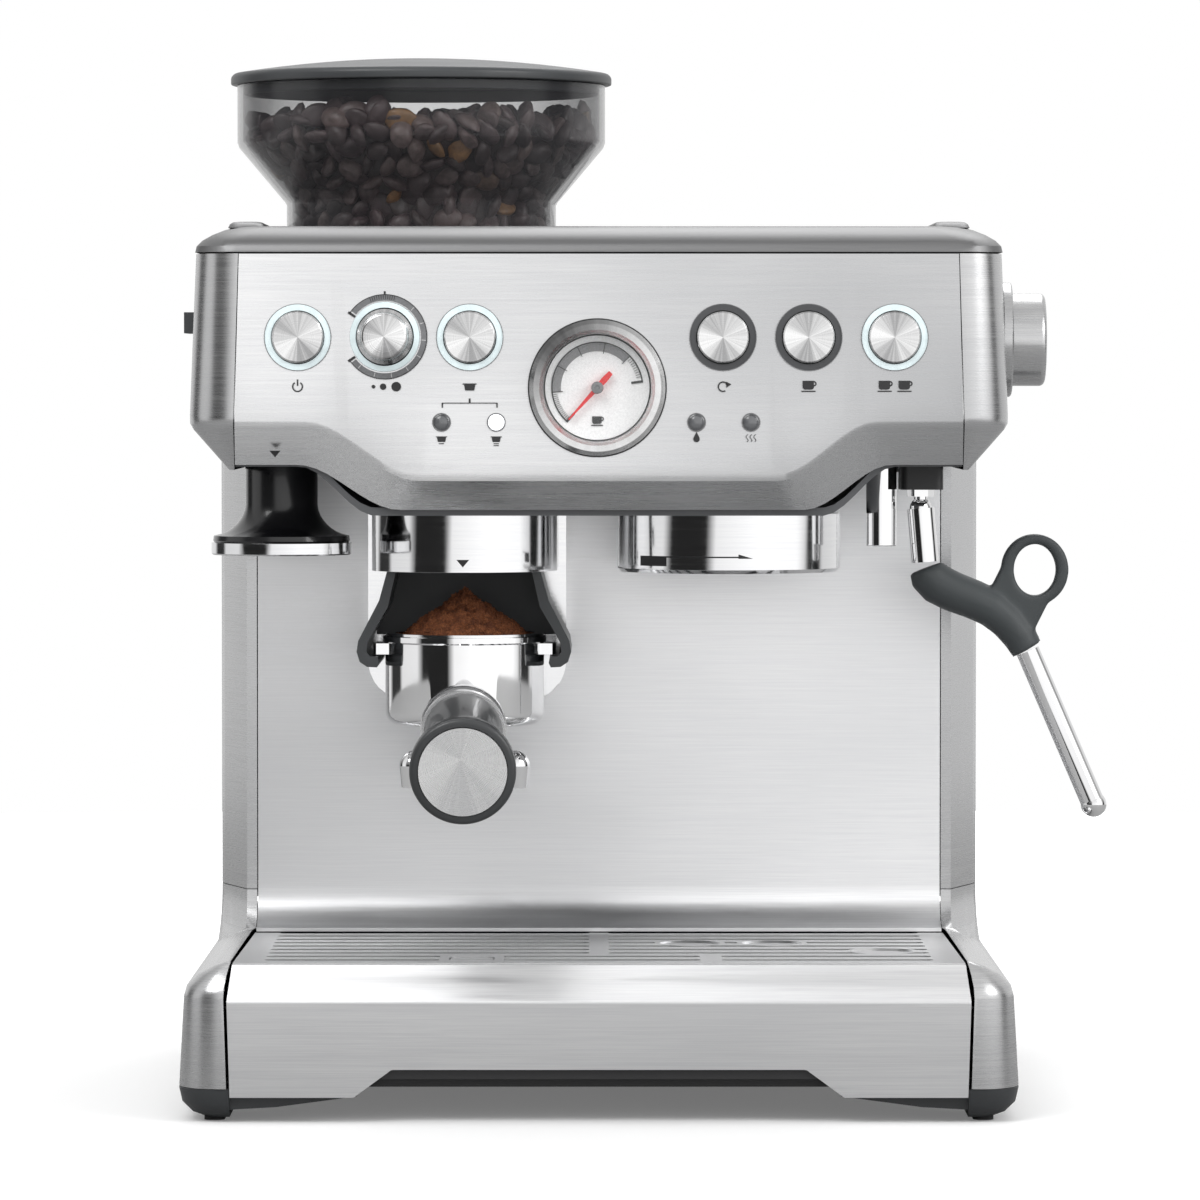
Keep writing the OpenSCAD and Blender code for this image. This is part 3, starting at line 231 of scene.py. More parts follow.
def spun(name, centre, dark=0.42, light=0.93, turn=0.0, rough=0.2, fans=2, streak=0.45):
    """Steel turned on a lathe: fans of painted highlight and shade round an axis along Y in its colour, and
    turned rings in its roughness and bump.
    """
    look = Look(name, Metallic=1, Anisotropic=0.5)
    offset = look.add("VectorMath", {0: look.place(), 1: centre}, operation="SUBTRACT").outputs[0]
    parts = look.add("SeparateXYZ", {0: offset}).outputs
    flat = look.add("CombineXYZ", {0: parts[0], 2: parts[2]}).outputs[0]
    angle = look.math("ARCTAN2", parts[2], parts[0])
    wide = look.math("SINE", look.math("ADD", look.math("MULTIPLY", angle, float(fans)), turn))
    narrow = look.math("SINE", look.math("ADD", look.math("MULTIPLY", angle, fans + 1.0), turn * 2.3 + 1))
    way = look.add("VectorMath", {0: flat}, operation="NORMALIZE").outputs[0]
    streaks = look.noise((9, 9, 9), 3, 0.4, way)
    waves = look.math("ADD", look.math("MULTIPLY", wide, 0.62), look.math("MULTIPLY", narrow, 0.3))
    painted_fan = look.math("ADD", waves, look.between(streaks, -streak, streak))
    level = look.between(painted_fan, 0.0, 1.0, -0.95, 0.95)
    # Painted highlight and shade: the fans of light and dark are put into the base colour.
    look.to("Base Color", look.blend(level, shade(dark, (0.99, 0.99, 1)), shade(light)))
    radius = look.add("VectorMath", {0: flat}, operation="LENGTH").outputs["Value"]
    turned = look.add("TexNoise", {"W": look.math("MULTIPLY", radius, 2600.0), "Scale": 1, "Detail": 2},
                      noise_dimensions="1D").outputs[0]
    look.to("Roughness", look.between(turned, rough - 0.04, rough + 0.08))
    look.bump(turned, 0.2, 0.00005)
    return look.material


def smoky(name):
    look = Look(name, Roughness=0.06, Specular_IOR_Level=0.5, Coat_Weight=0.3, Coat_Roughness=0.03)
    haze = look.noise((14, 14, 30), 3)
    rim = look.add("LayerWeight", {"Blend": 0.32}).outputs["Facing"]
    smoke = look.blend(look.between(haze, 0.0, 1.0), (0.045, 0.045, 0.05), (0.085, 0.085, 0.09))
    look.to("Base Color", smoke)
    cover = look.math("ADD", look.between(haze, 0.11, 0.16), look.math("MULTIPLY", rim, 0.62))
    look.to("Alpha", cover)
    return look.material


def clear(name, alpha=0.03):
    look = Look(name, Roughness=0.03, Specular_IOR_Level=0.25)
    film = look.noise((80, 80, 80), 3)
    look.to("Base Color", look.blend(look.between(film, 0.0, 1.0), (0.86, 0.9, 0.91), (0.95, 0.97, 0.97)))
    look.to("Alpha", look.between(film, alpha * 0.8, alpha * 1.2))
    return look.material


def glowing(name, colour, strength):
    look = Look(name, Roughness=0.35, Emission_Strength=strength, Coat_Weight=0.4)
    cells = look.noise((260, 260, 260), 2)
    lit = look.blend(look.between(cells, 0.0, 1.0), tuple(c * 0.88 for c in colour), colour)
    look.to("Base Color", lit)
    look.to("Emission Color", lit)
    return look.material


def painted(name, colour, rough=0.45):
    look = Look(name)
    grain = look.noise((1400, 1400, 1400), 2)
    faded = tuple(min(c * 1.25 + 0.006, 1) for c in colour)
    look.to("Base Color", look.blend(look.between(grain, 0.0, 1.0), colour, faded))
    look.to("Roughness", look.between(grain, rough - 0.06, rough + 0.08))
    look.bump(grain, 0.1, 0.00004)
    return look.material


def roasted(name):
    look = Look(name, Coat_Weight=0.25, Coat_Roughness=0.25)
    tint = look.add("Attribute", attribute_name="tint").outputs["Fac"]
    skin = look.noise((420, 420, 420), 4)
    ramp = look.add("ValToRGB", {"Fac": tint})
    stops = [(0.0, (0.05, 0.035, 0.035)), (0.5, (0.13, 0.092, 0.098)), (0.94, (0.23, 0.17, 0.16)),
             (0.975, (0.34, 0.2, 0.09)), (1.0, (0.45, 0.22, 0.075))]
    fill_ramp(ramp, stops)
    look.to("Base Color", look.blend(look.between(skin, 0.0, 0.55), ramp.outputs[0], (0.05, 0.035, 0.032)))
    look.to("Roughness", look.between(skin, 0.32, 0.52))
    look.bump(skin, 0.35, 0.0003)
    return look.material


def granular(name):
    look = Look(name, Roughness=0.85)
    grains = look.add("TexVoronoi", {"Vector": look.place(), "Scale": 1300})
    patches = look.noise((300, 300, 300), 4)
    colour = look.blend(look.between(patches, 0.0, 1.0), (0.14, 0.04, 0.014), (0.42, 0.15, 0.055))
    look.to("Base Color", look.blend(look.between(grains.outputs[0], 0.0, 0.55, 0.1, 0.7), colour,
                                     (0.07, 0.02, 0.008)))
    look.bump(grains.outputs[0], 0.5, 0.0005)
    return look.material


# ---- Mesh helpers ----


def piece(name, mesh, body, slot, *materials, smooth=None):
    obj = bpy.data.objects.new(name, mesh)
    bpy.context.scene.collection.objects.link(obj)
    for m in materials:
        mesh.materials.append(m)
    if smooth:
        mesh.polygons.foreach_set("use_smooth", [True] * len(mesh.polygons))
        mesh.set_sharp_from_angle(angle=math.radians(smooth))
    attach(obj, body)
    return obj


def mesh_of(name, verts, faces):
    mesh = bpy.data.meshes.new(name)
    mesh.from_pydata([tuple(v) for v in verts], [], faces)
    mesh.update()
    return mesh


def emboss(name, loops, surface, body, slot, material, thick=0.00015):
    """Thin printed shapes: each loop of (x, z) points becomes a plate that follows the surface."""
    verts, faces = [], []
    for loop in loops:
        n, first = len(loop), len(verts)
        for lift in (0, thick):
            verts += [(x, surface(x, z) - lift, z) for x, z in loop]
        faces.append(tuple(range(first + n, first + 2 * n)))
        faces.append(tuple(range(first + n - 1, first - 1, -1)))
        faces += [(first + i, first + (i + 1) % n, first + n + (i + 1) % n, first + n + i) for i in range(n)]
    mesh = mesh_of(name, verts, faces)
    bm = bmesh.new()
    bm.from_mesh(mesh)
    bmesh.ops.recalc_face_normals(bm, faces=bm.faces)
    bmesh.ops.triangulate(bm, faces=[f for f in bm.faces if len(f.verts) > 4])
    bm.to_mesh(mesh)
    bm.free()
    return piece(name, mesh, body, slot, material)


def arc(cx, cz, r, start, end, steps=24):
    return [(cx + r * math.cos(math.radians(start + (end - start) * k / steps)),
             cz + r * math.sin(math.radians(start + (end - start) * k / steps))) for k in range(steps + 1)]


def ring_loop(cx, cz, inner, outer, start, end, steps=24):
    return arc(cx, cz, outer, start, end, steps) + arc(cx, cz, inner, end, start, steps)


def tick(cx, cz, inner, outer, angle, width):
    c, s = math.cos(math.radians(angle)), math.sin(math.radians(angle))
    return [(cx + r * c - side * width / 2 * s, cz + r * s + side * width / 2 * c)
            for r, side in ((inner, -1), (outer, -1), (outer, 1), (inner, 1))]


def rect(cx, cz, w, h):
    x0, x1, z0, z1 = cx - w / 2, cx + w / 2, cz - h / 2, cz + h / 2
    return [(x0, z0), (x1, z0), (x1, z1), (x0, z1)]


def moved(loop, dx, dz, scale=MM):
    return [(dx + x * scale, dz + z * scale) for x, z in loop]


def lathe(profile, centre, segments=96):
    """Closed solid turned round an upright axis from (radius, z) points."""
    n = len(profile)
    verts = [(centre.x + r * math.cos(TAU * k / segments), centre.y + r * math.sin(TAU * k / segments), z)
             for k in range(segments) for r, z in profile]
    faces = [(k * n + i, ((k + 1) % segments) * n + i, ((k + 1) % segments) * n + (i + 1) % n,
              k * n + (i + 1) % n) for k in range(segments) for i in range(n)]
    return verts, faces


# ---- Coffee beans, each one its own shape ----


def bean_shape(rows=7, around=12):
    verts = [(0, 0, 1)]
    for i in range(1, rows):
        t = math.pi * i / rows
        for j in range(around):
            a = TAU * j / around
            verts.append((math.sin(t) * math.cos(a), math.sin(t) * math.sin(a), math.cos(t)))
    verts.append((0, 0, -1))
    faces = [(0, 1 + j, 1 + (j + 1) % around) for j in range(around)]
    for i in range(rows - 2):
        a, b = 1 + i * around, 1 + (i + 1) * around
        faces += [(a + j, b + j, b + (j + 1) % around, a + (j + 1) % around) for j in range(around)]
    last = len(verts) - 1
    faces += [(last, 1 + (rows - 2) * around + (j + 1) % around, 1 + (rows - 2) * around + j)
              for j in range(around)]
    points = np.array(verts, float)
    points = points[:, [0, 2, 1]] * [6.4, 4.6, 3.5]
    flat = points[:, 2] < 0
    points[flat, 2] *= 0.55
    crease = flat & (np.abs(points[:, 1]) < 1.5)
    points[crease, 2] += 1.3 * (1 - np.abs(points[crease, 1]) / 1.5)
    return points * MM, faces


def turned_randomly(points):
    q = dice.normal(size=4)
    w, x, y, z = q / np.linalg.norm(q)
    spin = np.array([[1 - 2 * (y * y + z * z), 2 * (x * y - w * z), 2 * (x * z + w * y)],
                     [2 * (x * y + w * z), 1 - 2 * (x * x + z * z), 2 * (y * z - w * x)],
                     [2 * (x * z - w * y), 2 * (y * z + w * x), 1 - 2 * (x * x + y * y)]])
    return points @ spin.T


def coffee_beans():
    low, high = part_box("coffee_beans")
    centre = middle("coffee_beans")
    wide = (high.x - low.x) / 2
    neck = wide - 19.6 * MM
    cone_low, cone_high = HOPPER_CONE_Z

    def inner(z):
        t = min(max((z - cone_low) / (cone_high - cone_low), 0), 1)
        return neck + (wide - neck) * t

    def heap_top(r, angle):
        """Height of the uneven top of the heap."""
        bump = noise.noise(Vector((r * math.cos(angle) * 34, r * math.sin(angle) * 34, 0.4)))
        return (376.6 + 5 * bump) * MM

    spots = []
    z = LOWEST_BEANS_Z
    while z < high.z - 5.5 * MM:
        r = inner(z) - 4.2 * MM
        count = int(TAU * r / (8.8 * MM))
        start = dice.uniform(0, TAU)
        row = [(r - dice.uniform(0, 1.2) * MM, start + TAU * k / count + dice.normal() * 0.02,
                z + dice.normal() * 0.7 * MM) for k in range(count)]
        spots += [spot for spot in row if spot[2] < heap_top(r, spot[1])]
        z += 5.6 * MM
    for ring in range(1, 9):
        r = ring * 8 * MM
        count = int(TAU * r / (8.9 * MM))
        angles = [TAU * (k + ring * 0.37) / count for k in range(count)]
        spots += [(r, angle, heap_top(r, angle) + dice.uniform(-1, 2.2) * MM) for angle in angles]
    shape, shape_faces = bean_shape()
    verts, faces, tints = [], [], []
    for r, angle, z in spots:
        bean = turned_randomly(shape * dice.uniform(0.86, 1.1))
        bean += [centre.x + r * math.cos(angle), centre.y + r * math.sin(angle), z]
        flat = bean[:, :2] - [centre.x, centre.y]
        reach = np.linalg.norm(flat, axis=1)
        limit = np.array([inner(v) for v in bean[:, 2]])
        squeeze = np.where(reach > limit, limit / np.maximum(reach, 1e-9), 1)
        bean[:, :2] = [centre.x, centre.y] + flat * squeeze[:, None]
        first = len(verts)
        verts += [tuple(v) for v in bean]
        faces += [tuple(first + i for i in f) for f in shape_faces]
        tints += [dice.random()] * len(bean)
    core_profile = [(0, low.z), (neck - 5 * MM, low.z), (neck - 5 * MM, cone_low), (wide - 6 * MM, cone_high),
                    (wide - 8 * MM, BEAN_CORE_TOP_Z), (0, BEAN_CORE_TOP_Z)]
    first = len(verts)
    core, core_faces = lathe(core_profile, centre, 48)
    verts += core
    faces += [tuple(first + i for i in f) for f in core_faces]
    # Painted shade: the core gets the darkest bean colour, for the shaded depths between the beans.
    tints += [0.0] * len(core)
    mesh = mesh_of("bean_heap", verts, faces)
    mesh.attributes.new("tint", "FLOAT", "POINT").data.foreach_set("value", tints)
    heap = piece("bean_heap", mesh, "hopper", "beans", roasted("roasted_beans"), smooth=60)
    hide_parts("coffee_beans")


def coffee_grounds():
    low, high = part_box("ground_coffee")
    centre = middle("ground_coffee")
    wide = (high.x - low.x) / 2
    rings, around = 60, 150
    verts = []
    for i in range(rings + 1):
        for j in range(around):
            r, a = wide * i / rings, TAU * j / around
            x, y = centre.x + r * math.cos(a), centre.y + r * math.sin(a)
            t = i / rings
            slope = (high.z - BASKET_RIM_Z) * max(1 - t * 1.12, 0) ** 0.86
            rough = noise.noise(Vector((x, y, 0.3)) * 260) * 1.3
            rough += noise.noise(Vector((x, y, 0.7)) * 900) * 0.9
            rough += noise.noise(Vector((x, y, 0.1)) * 95) * 1.6
            verts.append((x, y, BASKET_RIM_Z + slope + rough * MM * (1 - t**8) - 1.2 * MM))
    faces = [(i * around + j, (i + 1) * around + j, (i + 1) * around + (j + 1) % around,
              i * around + (j + 1) % around) for i in range(rings) for j in range(around)]
    base = len(verts)
    verts += [(centre.x + (wide - MM) * math.cos(TAU * j / around),
               centre.y + (wide - MM) * math.sin(TAU * j / around), low.z) for j in range(around)]
    edge = rings * around
    faces += [(edge + j, base + j, base + (j + 1) % around, edge + (j + 1) % around) for j in range(around)]
    faces.append(tuple(range(base + around - 1, base - 1, -1)))
    corners = np.array([(1, 0, -0.7), (-1, 0, -0.7), (0, 1, 0.7), (0, -1, 0.7)], float)
    for _ in range(4200):
        i, j = int(rings * math.sqrt(dice.random()) * 0.93), dice.integers(around)
        spot = np.array(verts[i * around + j])
        size = dice.uniform(0.22, 0.55) * MM
        crumb = turned_randomly(corners * [size, size * 0.8, size * 0.8]) + spot + [0, 0, size * 0.4]
        first = len(verts)
        verts += [tuple(v) for v in crumb]
        faces += [(first, first + 2, first + 3), (first + 1, first + 3, first + 2),
                  (first, first + 1, first + 2), (first, first + 3, first + 1)]
    mound = piece("grounds_mound", mesh_of("grounds_mound", verts, faces), "portafilter", "grounds",
                  granular("ground_coffee_grains"))
    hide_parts("ground_coffee")


# ---- Gauge ----


def gauge_face():
    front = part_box("gauge_bezel")[0].y
    dial_y = front + 7.8 * MM

    def flat(x, z):
        return dial_y - 0.0001

    x, z = gauge.x, gauge.z
    black = painted("gauge_print", (0.012, 0.012, 0.013))
    grey = painted("gauge_band", (0.2, 0.2, 0.205))
    start, end = 228, 8
    band = [ring_loop(x, z, 13.6 * MM, 16.6 * MM, 186, 44, 60)]
    lines = [ring_loop(x, z, 16.7 * MM, 17.2 * MM, start, end, 90),
             tick(x, z, 12.8 * MM, 17.2 * MM, start, 0.9 * MM),
             tick(x, z, 12.8 * MM, 17.2 * MM, end, 0.9 * MM)]
    lines += [tick(x, z, 15.0 * MM, 16.7 * MM, start - 2.6 * k, 0.16 * MM) for k in range(1, 16)]
    lines += [tick(x, z, 15.0 * MM, 16.7 * MM, end + 3 + 3.3 * k, 0.16 * MM) for k in range(1, 10)]
    lines += [tick(x, z, 12.9 * MM, 16.7 * MM, a, 0.3 * MM) for a in (186, 151, 116, 80, 44)]
    # A small cup stands in for the dial's words
    lines += [moved(loop, x, z - 13.4 * MM, 0.85 * MM) for loop in cup_loops()]
    emboss("gauge_band", band, flat, "root", "dark_plastic", grey, 0.00012)
    lines.append(ring_loop(x, z, 19.5 * MM, 20.0 * MM, *ALL_ROUND, 96))
    emboss("gauge_scale", lines, flat, "root", "black_plastic", black, 0.00022)
    emboss("bezel_joint", [ring_loop(x, z, 25.3 * MM, 25.9 * MM, *ALL_ROUND, 120)], on_panel, "root",
           "black_plastic", black, 0.0003)
    hub_profile = [(0, 0.0), (2.3, 0.0), (2.3, 0.9), (1.9, 1.3), (0.9, 1.45), (0.6, 1.1), (0, 1.1)]
    needle_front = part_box("gauge_needle")[0].y
    turned_piece("gauge_hub", hub_profile, (x, needle_front + 0.1 * MM, z), "gauge_needle", "dark_plastic",
                 plastic("hub_grey", (0.19, 0.195, 0.2), 0.35), 40)
    lens = [(0, 0), (19.9, 0), (19.9, 0.8), (18.9, 1.25), (14, 1.75), (8, 2.1), (0, 2.25)]
    turned_piece("gauge_glass", lens, (x, front + 3.4 * MM, z), "root", "smoke_clear",
                 clear("gauge_lens"), 96)


def turned_piece(name, profile, at, body, slot, material, segments):
    """Solid of (radius, height) points in mm, turned round an axis that faces the user."""
    x, y, z = at
    verts, faces = lathe([(r * MM, h * MM) for r, h in profile], Vector((0, 0, 0)), segments)
    verts = [(x + v[0], y - v[2], z + v[1]) for v in verts]
    mesh = mesh_of(name, verts, faces)
    bm = bmesh.new()
    bm.from_mesh(mesh)
    bmesh.ops.remove_doubles(bm, verts=bm.verts, dist=1e-6)
    bmesh.ops.dissolve_degenerate(bm, edges=bm.edges, dist=1e-7)
    bmesh.ops.recalc_face_normals(bm, faces=bm.faces)
    bm.to_mesh(mesh)
    bm.free()
    return piece(name, mesh, body, slot, material, smooth=35)


# ---- Printed marks, all generic ----


def cup_loops():
    """A cup, its handle and its saucer, in mm, about 6 wide."""
    cup = [(-2.3, 3.2), (1.9, 3.2), (1.9, 0.9)] + arc(0.9, 0.9, 1, 0, -90, 6) + arc(-1.3, 0.9, 1, 270, 180, 6)
    return [cup, ring_loop(1.9, 2.1, 0.55, 1.0, 90, -90, 10), rect(-0.1, -0.75, 5.2, 0.45)]


def drop_loop():
    return arc(0, 0, 1.5, -210, 30, 18) + [(0, 3.4)]


def wave_loop(dx, half=0.18):
    """One upright wavy line of steam."""
    line = [(dx + 0.5 * math.sin(k * 0.9), k * 0.45 - 1.4) for k in range(9)]
    return [(x - half, z) for x, z in line] + [(x + half, z) for x, z in reversed(line)]


def filter_loops(rows):
    """A filter basket with rows of dashes under it."""
    basket = [(-2.6, 1.2), (2.6, 1.2), (2.6, 0.8), (2.1, 0.8),
              (1.7, -1.4), (-1.7, -1.4), (-2.1, 0.8), (-2.6, 0.8)]
    return [basket] + [rect(0, -2.2 - 0.9 * k, 2.4, 0.4) for k in range(rows)]


def panel_marks():
    black = painted("panel_print", (0.014, 0.014, 0.015))
    loops = []

    def put(shapes, x, z, scale=MM):
        loops.extend(moved(loop, x, z, scale) for loop in shapes)

    label_z = middle("power_button").z - 18.4 * MM
    power, amount, size = middle("power_button").x, amount_dial.x, middle("filter_button").x
    put([ring_loop(0, 0, 1.55, 2.05, 125, 415), rect(0, 1.5, 0.5, 2.4)], power, label_z)
    put([arc(-4.2, 0, 0.7, 0, 345, 12), arc(-0.6, 0, 1.2, 0, 345, 16), arc(4.3, 0, 1.8, 0, 345, 20)],
        amount, label_z)
    put(filter_loops(0), size, label_z)
    put([ring_loop(0, 0, 1.5, 2.0, 20, 300), [(1.1, 1.9), (3.1, 0.9), (1.2, -0.4)]],
        middle("program_button").x, label_z)
    put(cup_loops(), middle("one_cup_button").x, label_z - MM)
    for side in (-1, 1):
        put(cup_loops(), middle("two_cup_button").x + side * 3.7 * MM, label_z - MM)
    # Bracket that ties the filter button to its two lamps
    reach = (LAMPS_X[1] - LAMPS_X[0]) / MM / 2
    put([rect(0, 0, 2 * reach, 0.3), rect(0, 0.9, 0.7, 1.6), rect(-reach, -0.8, 0.5, 1.8),
         rect(reach, -0.8, 0.5, 1.8)], size, LAMP_Z + 7.2 * MM)
    for x, shapes in zip(LAMPS_X, (filter_loops(1), filter_loops(2), [drop_loop()], None)):
        if shapes:
            put(shapes, x, LAMP_Z - 6.2 * MM, 0.8 * MM)
    put([wave_loop(dx) for dx in (-1.8, 0, 1.8)], LAMPS_X[3], LAMP_Z - 6.2 * MM, 0.8 * MM)
    emboss("panel_marks", loops, on_panel, "root", "black_plastic", black)
    # Fine dark joints round the button rings and the lamps
    rims = [ring_loop(middle(name).x, middle(name).z, *BUTTON_JOINT, *ALL_ROUND, 72) for name in BUTTONS]
    rims += [ring_loop(x, LAMP_Z, *LAMP_JOINT, *ALL_ROUND, 40) for x in LAMPS_X]
    rim_grey = painted("rim_grey", (0.14, 0.14, 0.145))
    emboss("panel_rims", rims, on_panel, "root", "dark_plastic", rim_grey, 0.0002)
    # Painted shade: a dark strip behind the seam between the front panel and the top cover stands in for the
    # shade inside the gap.
    panel_low, panel_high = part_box("front_panel")
    seam = rect((panel_low.x + panel_high.x) / 2, panel_high.z + 0.2 * MM, panel_high.x - panel_low.x, 3 * MM)
    emboss("seam_shade_strip", [seam], lambda x, z: on_panel(x, z) + 3.2 * MM, "root", "soft_rubber",
           plastic("seam_shade_black", (0.016, 0.016, 0.017), 0.7), MM)
    tamper = middle("tamper_handle").x

    def on_slope(x, z):
        """Y of the panel's slope above the tamper."""
        return panel_y + 4.3 * MM + (SLOPE_TOP_Z - z) * 0.55

    arrow = [[(-2.1, 1.3), (2.1, 1.3), (0, -1.2)]]
    emboss("tamper_mark", [moved(loop, tamper, TAMPER_MARK_Z) for loop in arrow], on_slope, "root",
           "black_plastic", black)
    outlet = middle("cradle").x
    emboss("outlet_mark", [moved(loop, outlet, OUTLET_MARK_Z, 1.15 * MM) for loop in arrow],
           on_round("ground_coffee", OUTLET_R), "root", "black_plastic", black)


def strip(x0, x1, low, high, steps):
    xs = [x0 + (x1 - x0) * k / steps for k in range(steps + 1)]
    return [[(a, low(a)), (b, low(b)), (b, high(b)), (a, high(a))] for a, b in zip(xs, xs[1:])]


def group_marks():
    """A socket and an arrow that show which way the portafilter turns to lock."""
    centre = middle("shower_screen")
    round_front = on_round("group_head", GROUP_R)
    z = LOCK_MARK_Z
    x0 = centre.x - 34 * MM
    block = strip(x0, x0 + 9.6 * MM, lambda x: z - 2.9 * MM, lambda x: z + 0.9 * MM, 8)
    shaft = strip(x0 + 9.6 * MM, centre.x + 3 * MM, lambda x: z + 0.35 * MM, lambda x: z + 0.9 * MM, 16)
    tip = centre.x + 8.4 * MM
    head = strip(centre.x + 3 * MM, tip, lambda x: z + 0.1 * MM,
                 lambda x: z + 0.1 * MM + 1.6 * MM * (tip - x) / (5.4 * MM) + 0.05 * MM, 5)
    emboss("lock_arrow", block + shaft + head, round_front, "root", "black_plastic",
           painted("group_print", (0.014, 0.014, 0.015)))


def amount_scale():
    x, z = amount_dial.x, amount_dial.z
    dark = painted("scale_grey", (0.15, 0.152, 0.158))
    black = painted("scale_print", (0.016, 0.016, 0.017))
    pale = painted("scale_tick", (0.55, 0.55, 0.55))
    emboss("amount_scale", [ring_loop(x, z, 13.6 * MM, 15.6 * MM, -142, 142, 70)], on_panel, "root",
           "dark_plastic", dark, 0.00018)
    edges = [ring_loop(x, z, 15.6 * MM, 15.9 * MM, -146, 146, 70),
             tick(x, z, 13.3 * MM, 16.4 * MM, 146, 0.9 * MM),
             tick(x, z, 13.3 * MM, 16.4 * MM, -146, 0.9 * MM),
             tick(x, z, 15.9 * MM, 17 * MM, 90, 0.7 * MM)]
    edges += [tick(x, z, 14 * MM, 15.6 * MM, 76 + 3.2 * k, 0.25 * MM) for k in range(12)]
    emboss("amount_edge", edges, on_panel, "root", "black_plastic", black, 0.00026)
    ticks = [tick(x, z, 13.8 * MM, 15.4 * MM, a, 0.22 * MM) for a in range(-130, 70, 25)]
    emboss("amount_ticks", ticks, on_panel, "root", "light_pipe", pale, 0.00026)


# ---- Rubber grip, blended from its CAD parts ----


def rubber_grip():
    source = nodes["wand_grip"]
    rough = bpy.data.objects.new("grip_work", source.data.copy())
    bpy.context.scene.collection.objects.link(rough)
    remesh = rough.modifiers.new("remesh", "REMESH")
    remesh.mode = "VOXEL"
    remesh.voxel_size = 0.0008
    soften = rough.modifiers.new("soften", "SMOOTH")
    soften.factor = 0.5
    soften.iterations = 9
    bpy.context.view_layer.update()
    mesh = bpy.data.meshes.new_from_object(rough.evaluated_get(bpy.context.evaluated_depsgraph_get()))
    bpy.data.objects.remove(rough)
    mesh.materials.clear()
    grip = piece("soft_grip", mesh, "wand", "soft_rubber",
                 plastic("slate_rubber", (0.047, 0.054, 0.057), 0.52, texture=0.35), smooth=180)
    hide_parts("wand_grip")


# ---- Finishes of the CAD nodes ----

# Radius in mm that each sharp edge is eased to
ROUNDED = {"tray_front": 0.5, "left_base_cover": 0.45, "right_base_cover": 0.45, "left_side_panel": 0.35,
           "right_side_panel": 0.35, "hopper_lid": 0.6, "cradle": 1.4, "grinder_outlet": 0.5,
           "group_head": 0.5, "steam_dial": 0.5, "grind_size_dial": 0.6, "tamper_base": 0.4, "tank_lid": 0.5,
           "hot_water_spout": 0.4, "power_button": 0.35, "filter_button": 0.35,
           "program_button": 0.35, "one_cup_button": 0.35, "two_cup_button": 0.35, "tray_float": 0.6}


def finish_node(name, *materials):
    obj = nodes[name]
    mesh = obj.data
    mesh.materials.clear()
    for m in materials:
        mesh.materials.append(m)
    mesh.polygons.foreach_set("material_index", [0] * len(mesh.polygons))
    mesh.polygons.foreach_set("use_smooth", [True] * len(mesh.polygons))
    if "custom_normal" in mesh.attributes:
        mesh.attributes.remove(mesh.attributes["custom_normal"])
    weld = obj.modifiers.new("weld", "WELD")
    weld.merge_threshold = 1e-5
    if name in ROUNDED:
        edge = obj.modifiers.new("edge", "BEVEL")
        edge.width = ROUNDED[name] * MM
        edge.segments = 2
        edge.limit_method = "ANGLE"
        edge.angle_limit = math.radians(38)
        edge.miter_outer = "MITER_ARC"
        obj.modifiers.new("normals", "WEIGHTED_NORMAL").weight = 60
    else:
        obj.modifiers.new("split", "EDGE_SPLIT").split_angle = math.radians(32)


def mark_faces(name, choose):
    """Gives each face the material index that choose(centre, normal) returns."""
    mesh = nodes[name].data
    for polygon in mesh.polygons:
        polygon.material_index = choose(polygon.center, polygon.normal)


def panel_lights():
    lit = glowing("lit_ring", (0.74, 0.85, 0.87), 0.2)
    off = plastic("ring_grey", (0.062, 0.064, 0.068), 0.38)
    lamp = glowing("lit_lamp", (0.95, 0.97, 1.0), 1.3)
    dull = plastic("lamp_grey", (0.12, 0.123, 0.13), 0.2, coat=0.8)
    finish_node("panel_lights", lit, off, lamp, dull)
    rings = {name: middle(name) for name in BUTTONS}

    def choose(centre, normal):
        if centre.z < LAMP_Z + 5 * MM:
            return 2 if abs(centre.x - LIT_LAMP_X) < 5 * MM else 3
        near = min(rings, key=lambda n: abs(rings[n].x - centre.x))
        if abs(centre.x - amount_dial.x) < abs(centre.x - rings[near].x):
            return 0
        return 0 if near in LIT_BUTTONS else 1

    mark_faces("panel_lights", choose)


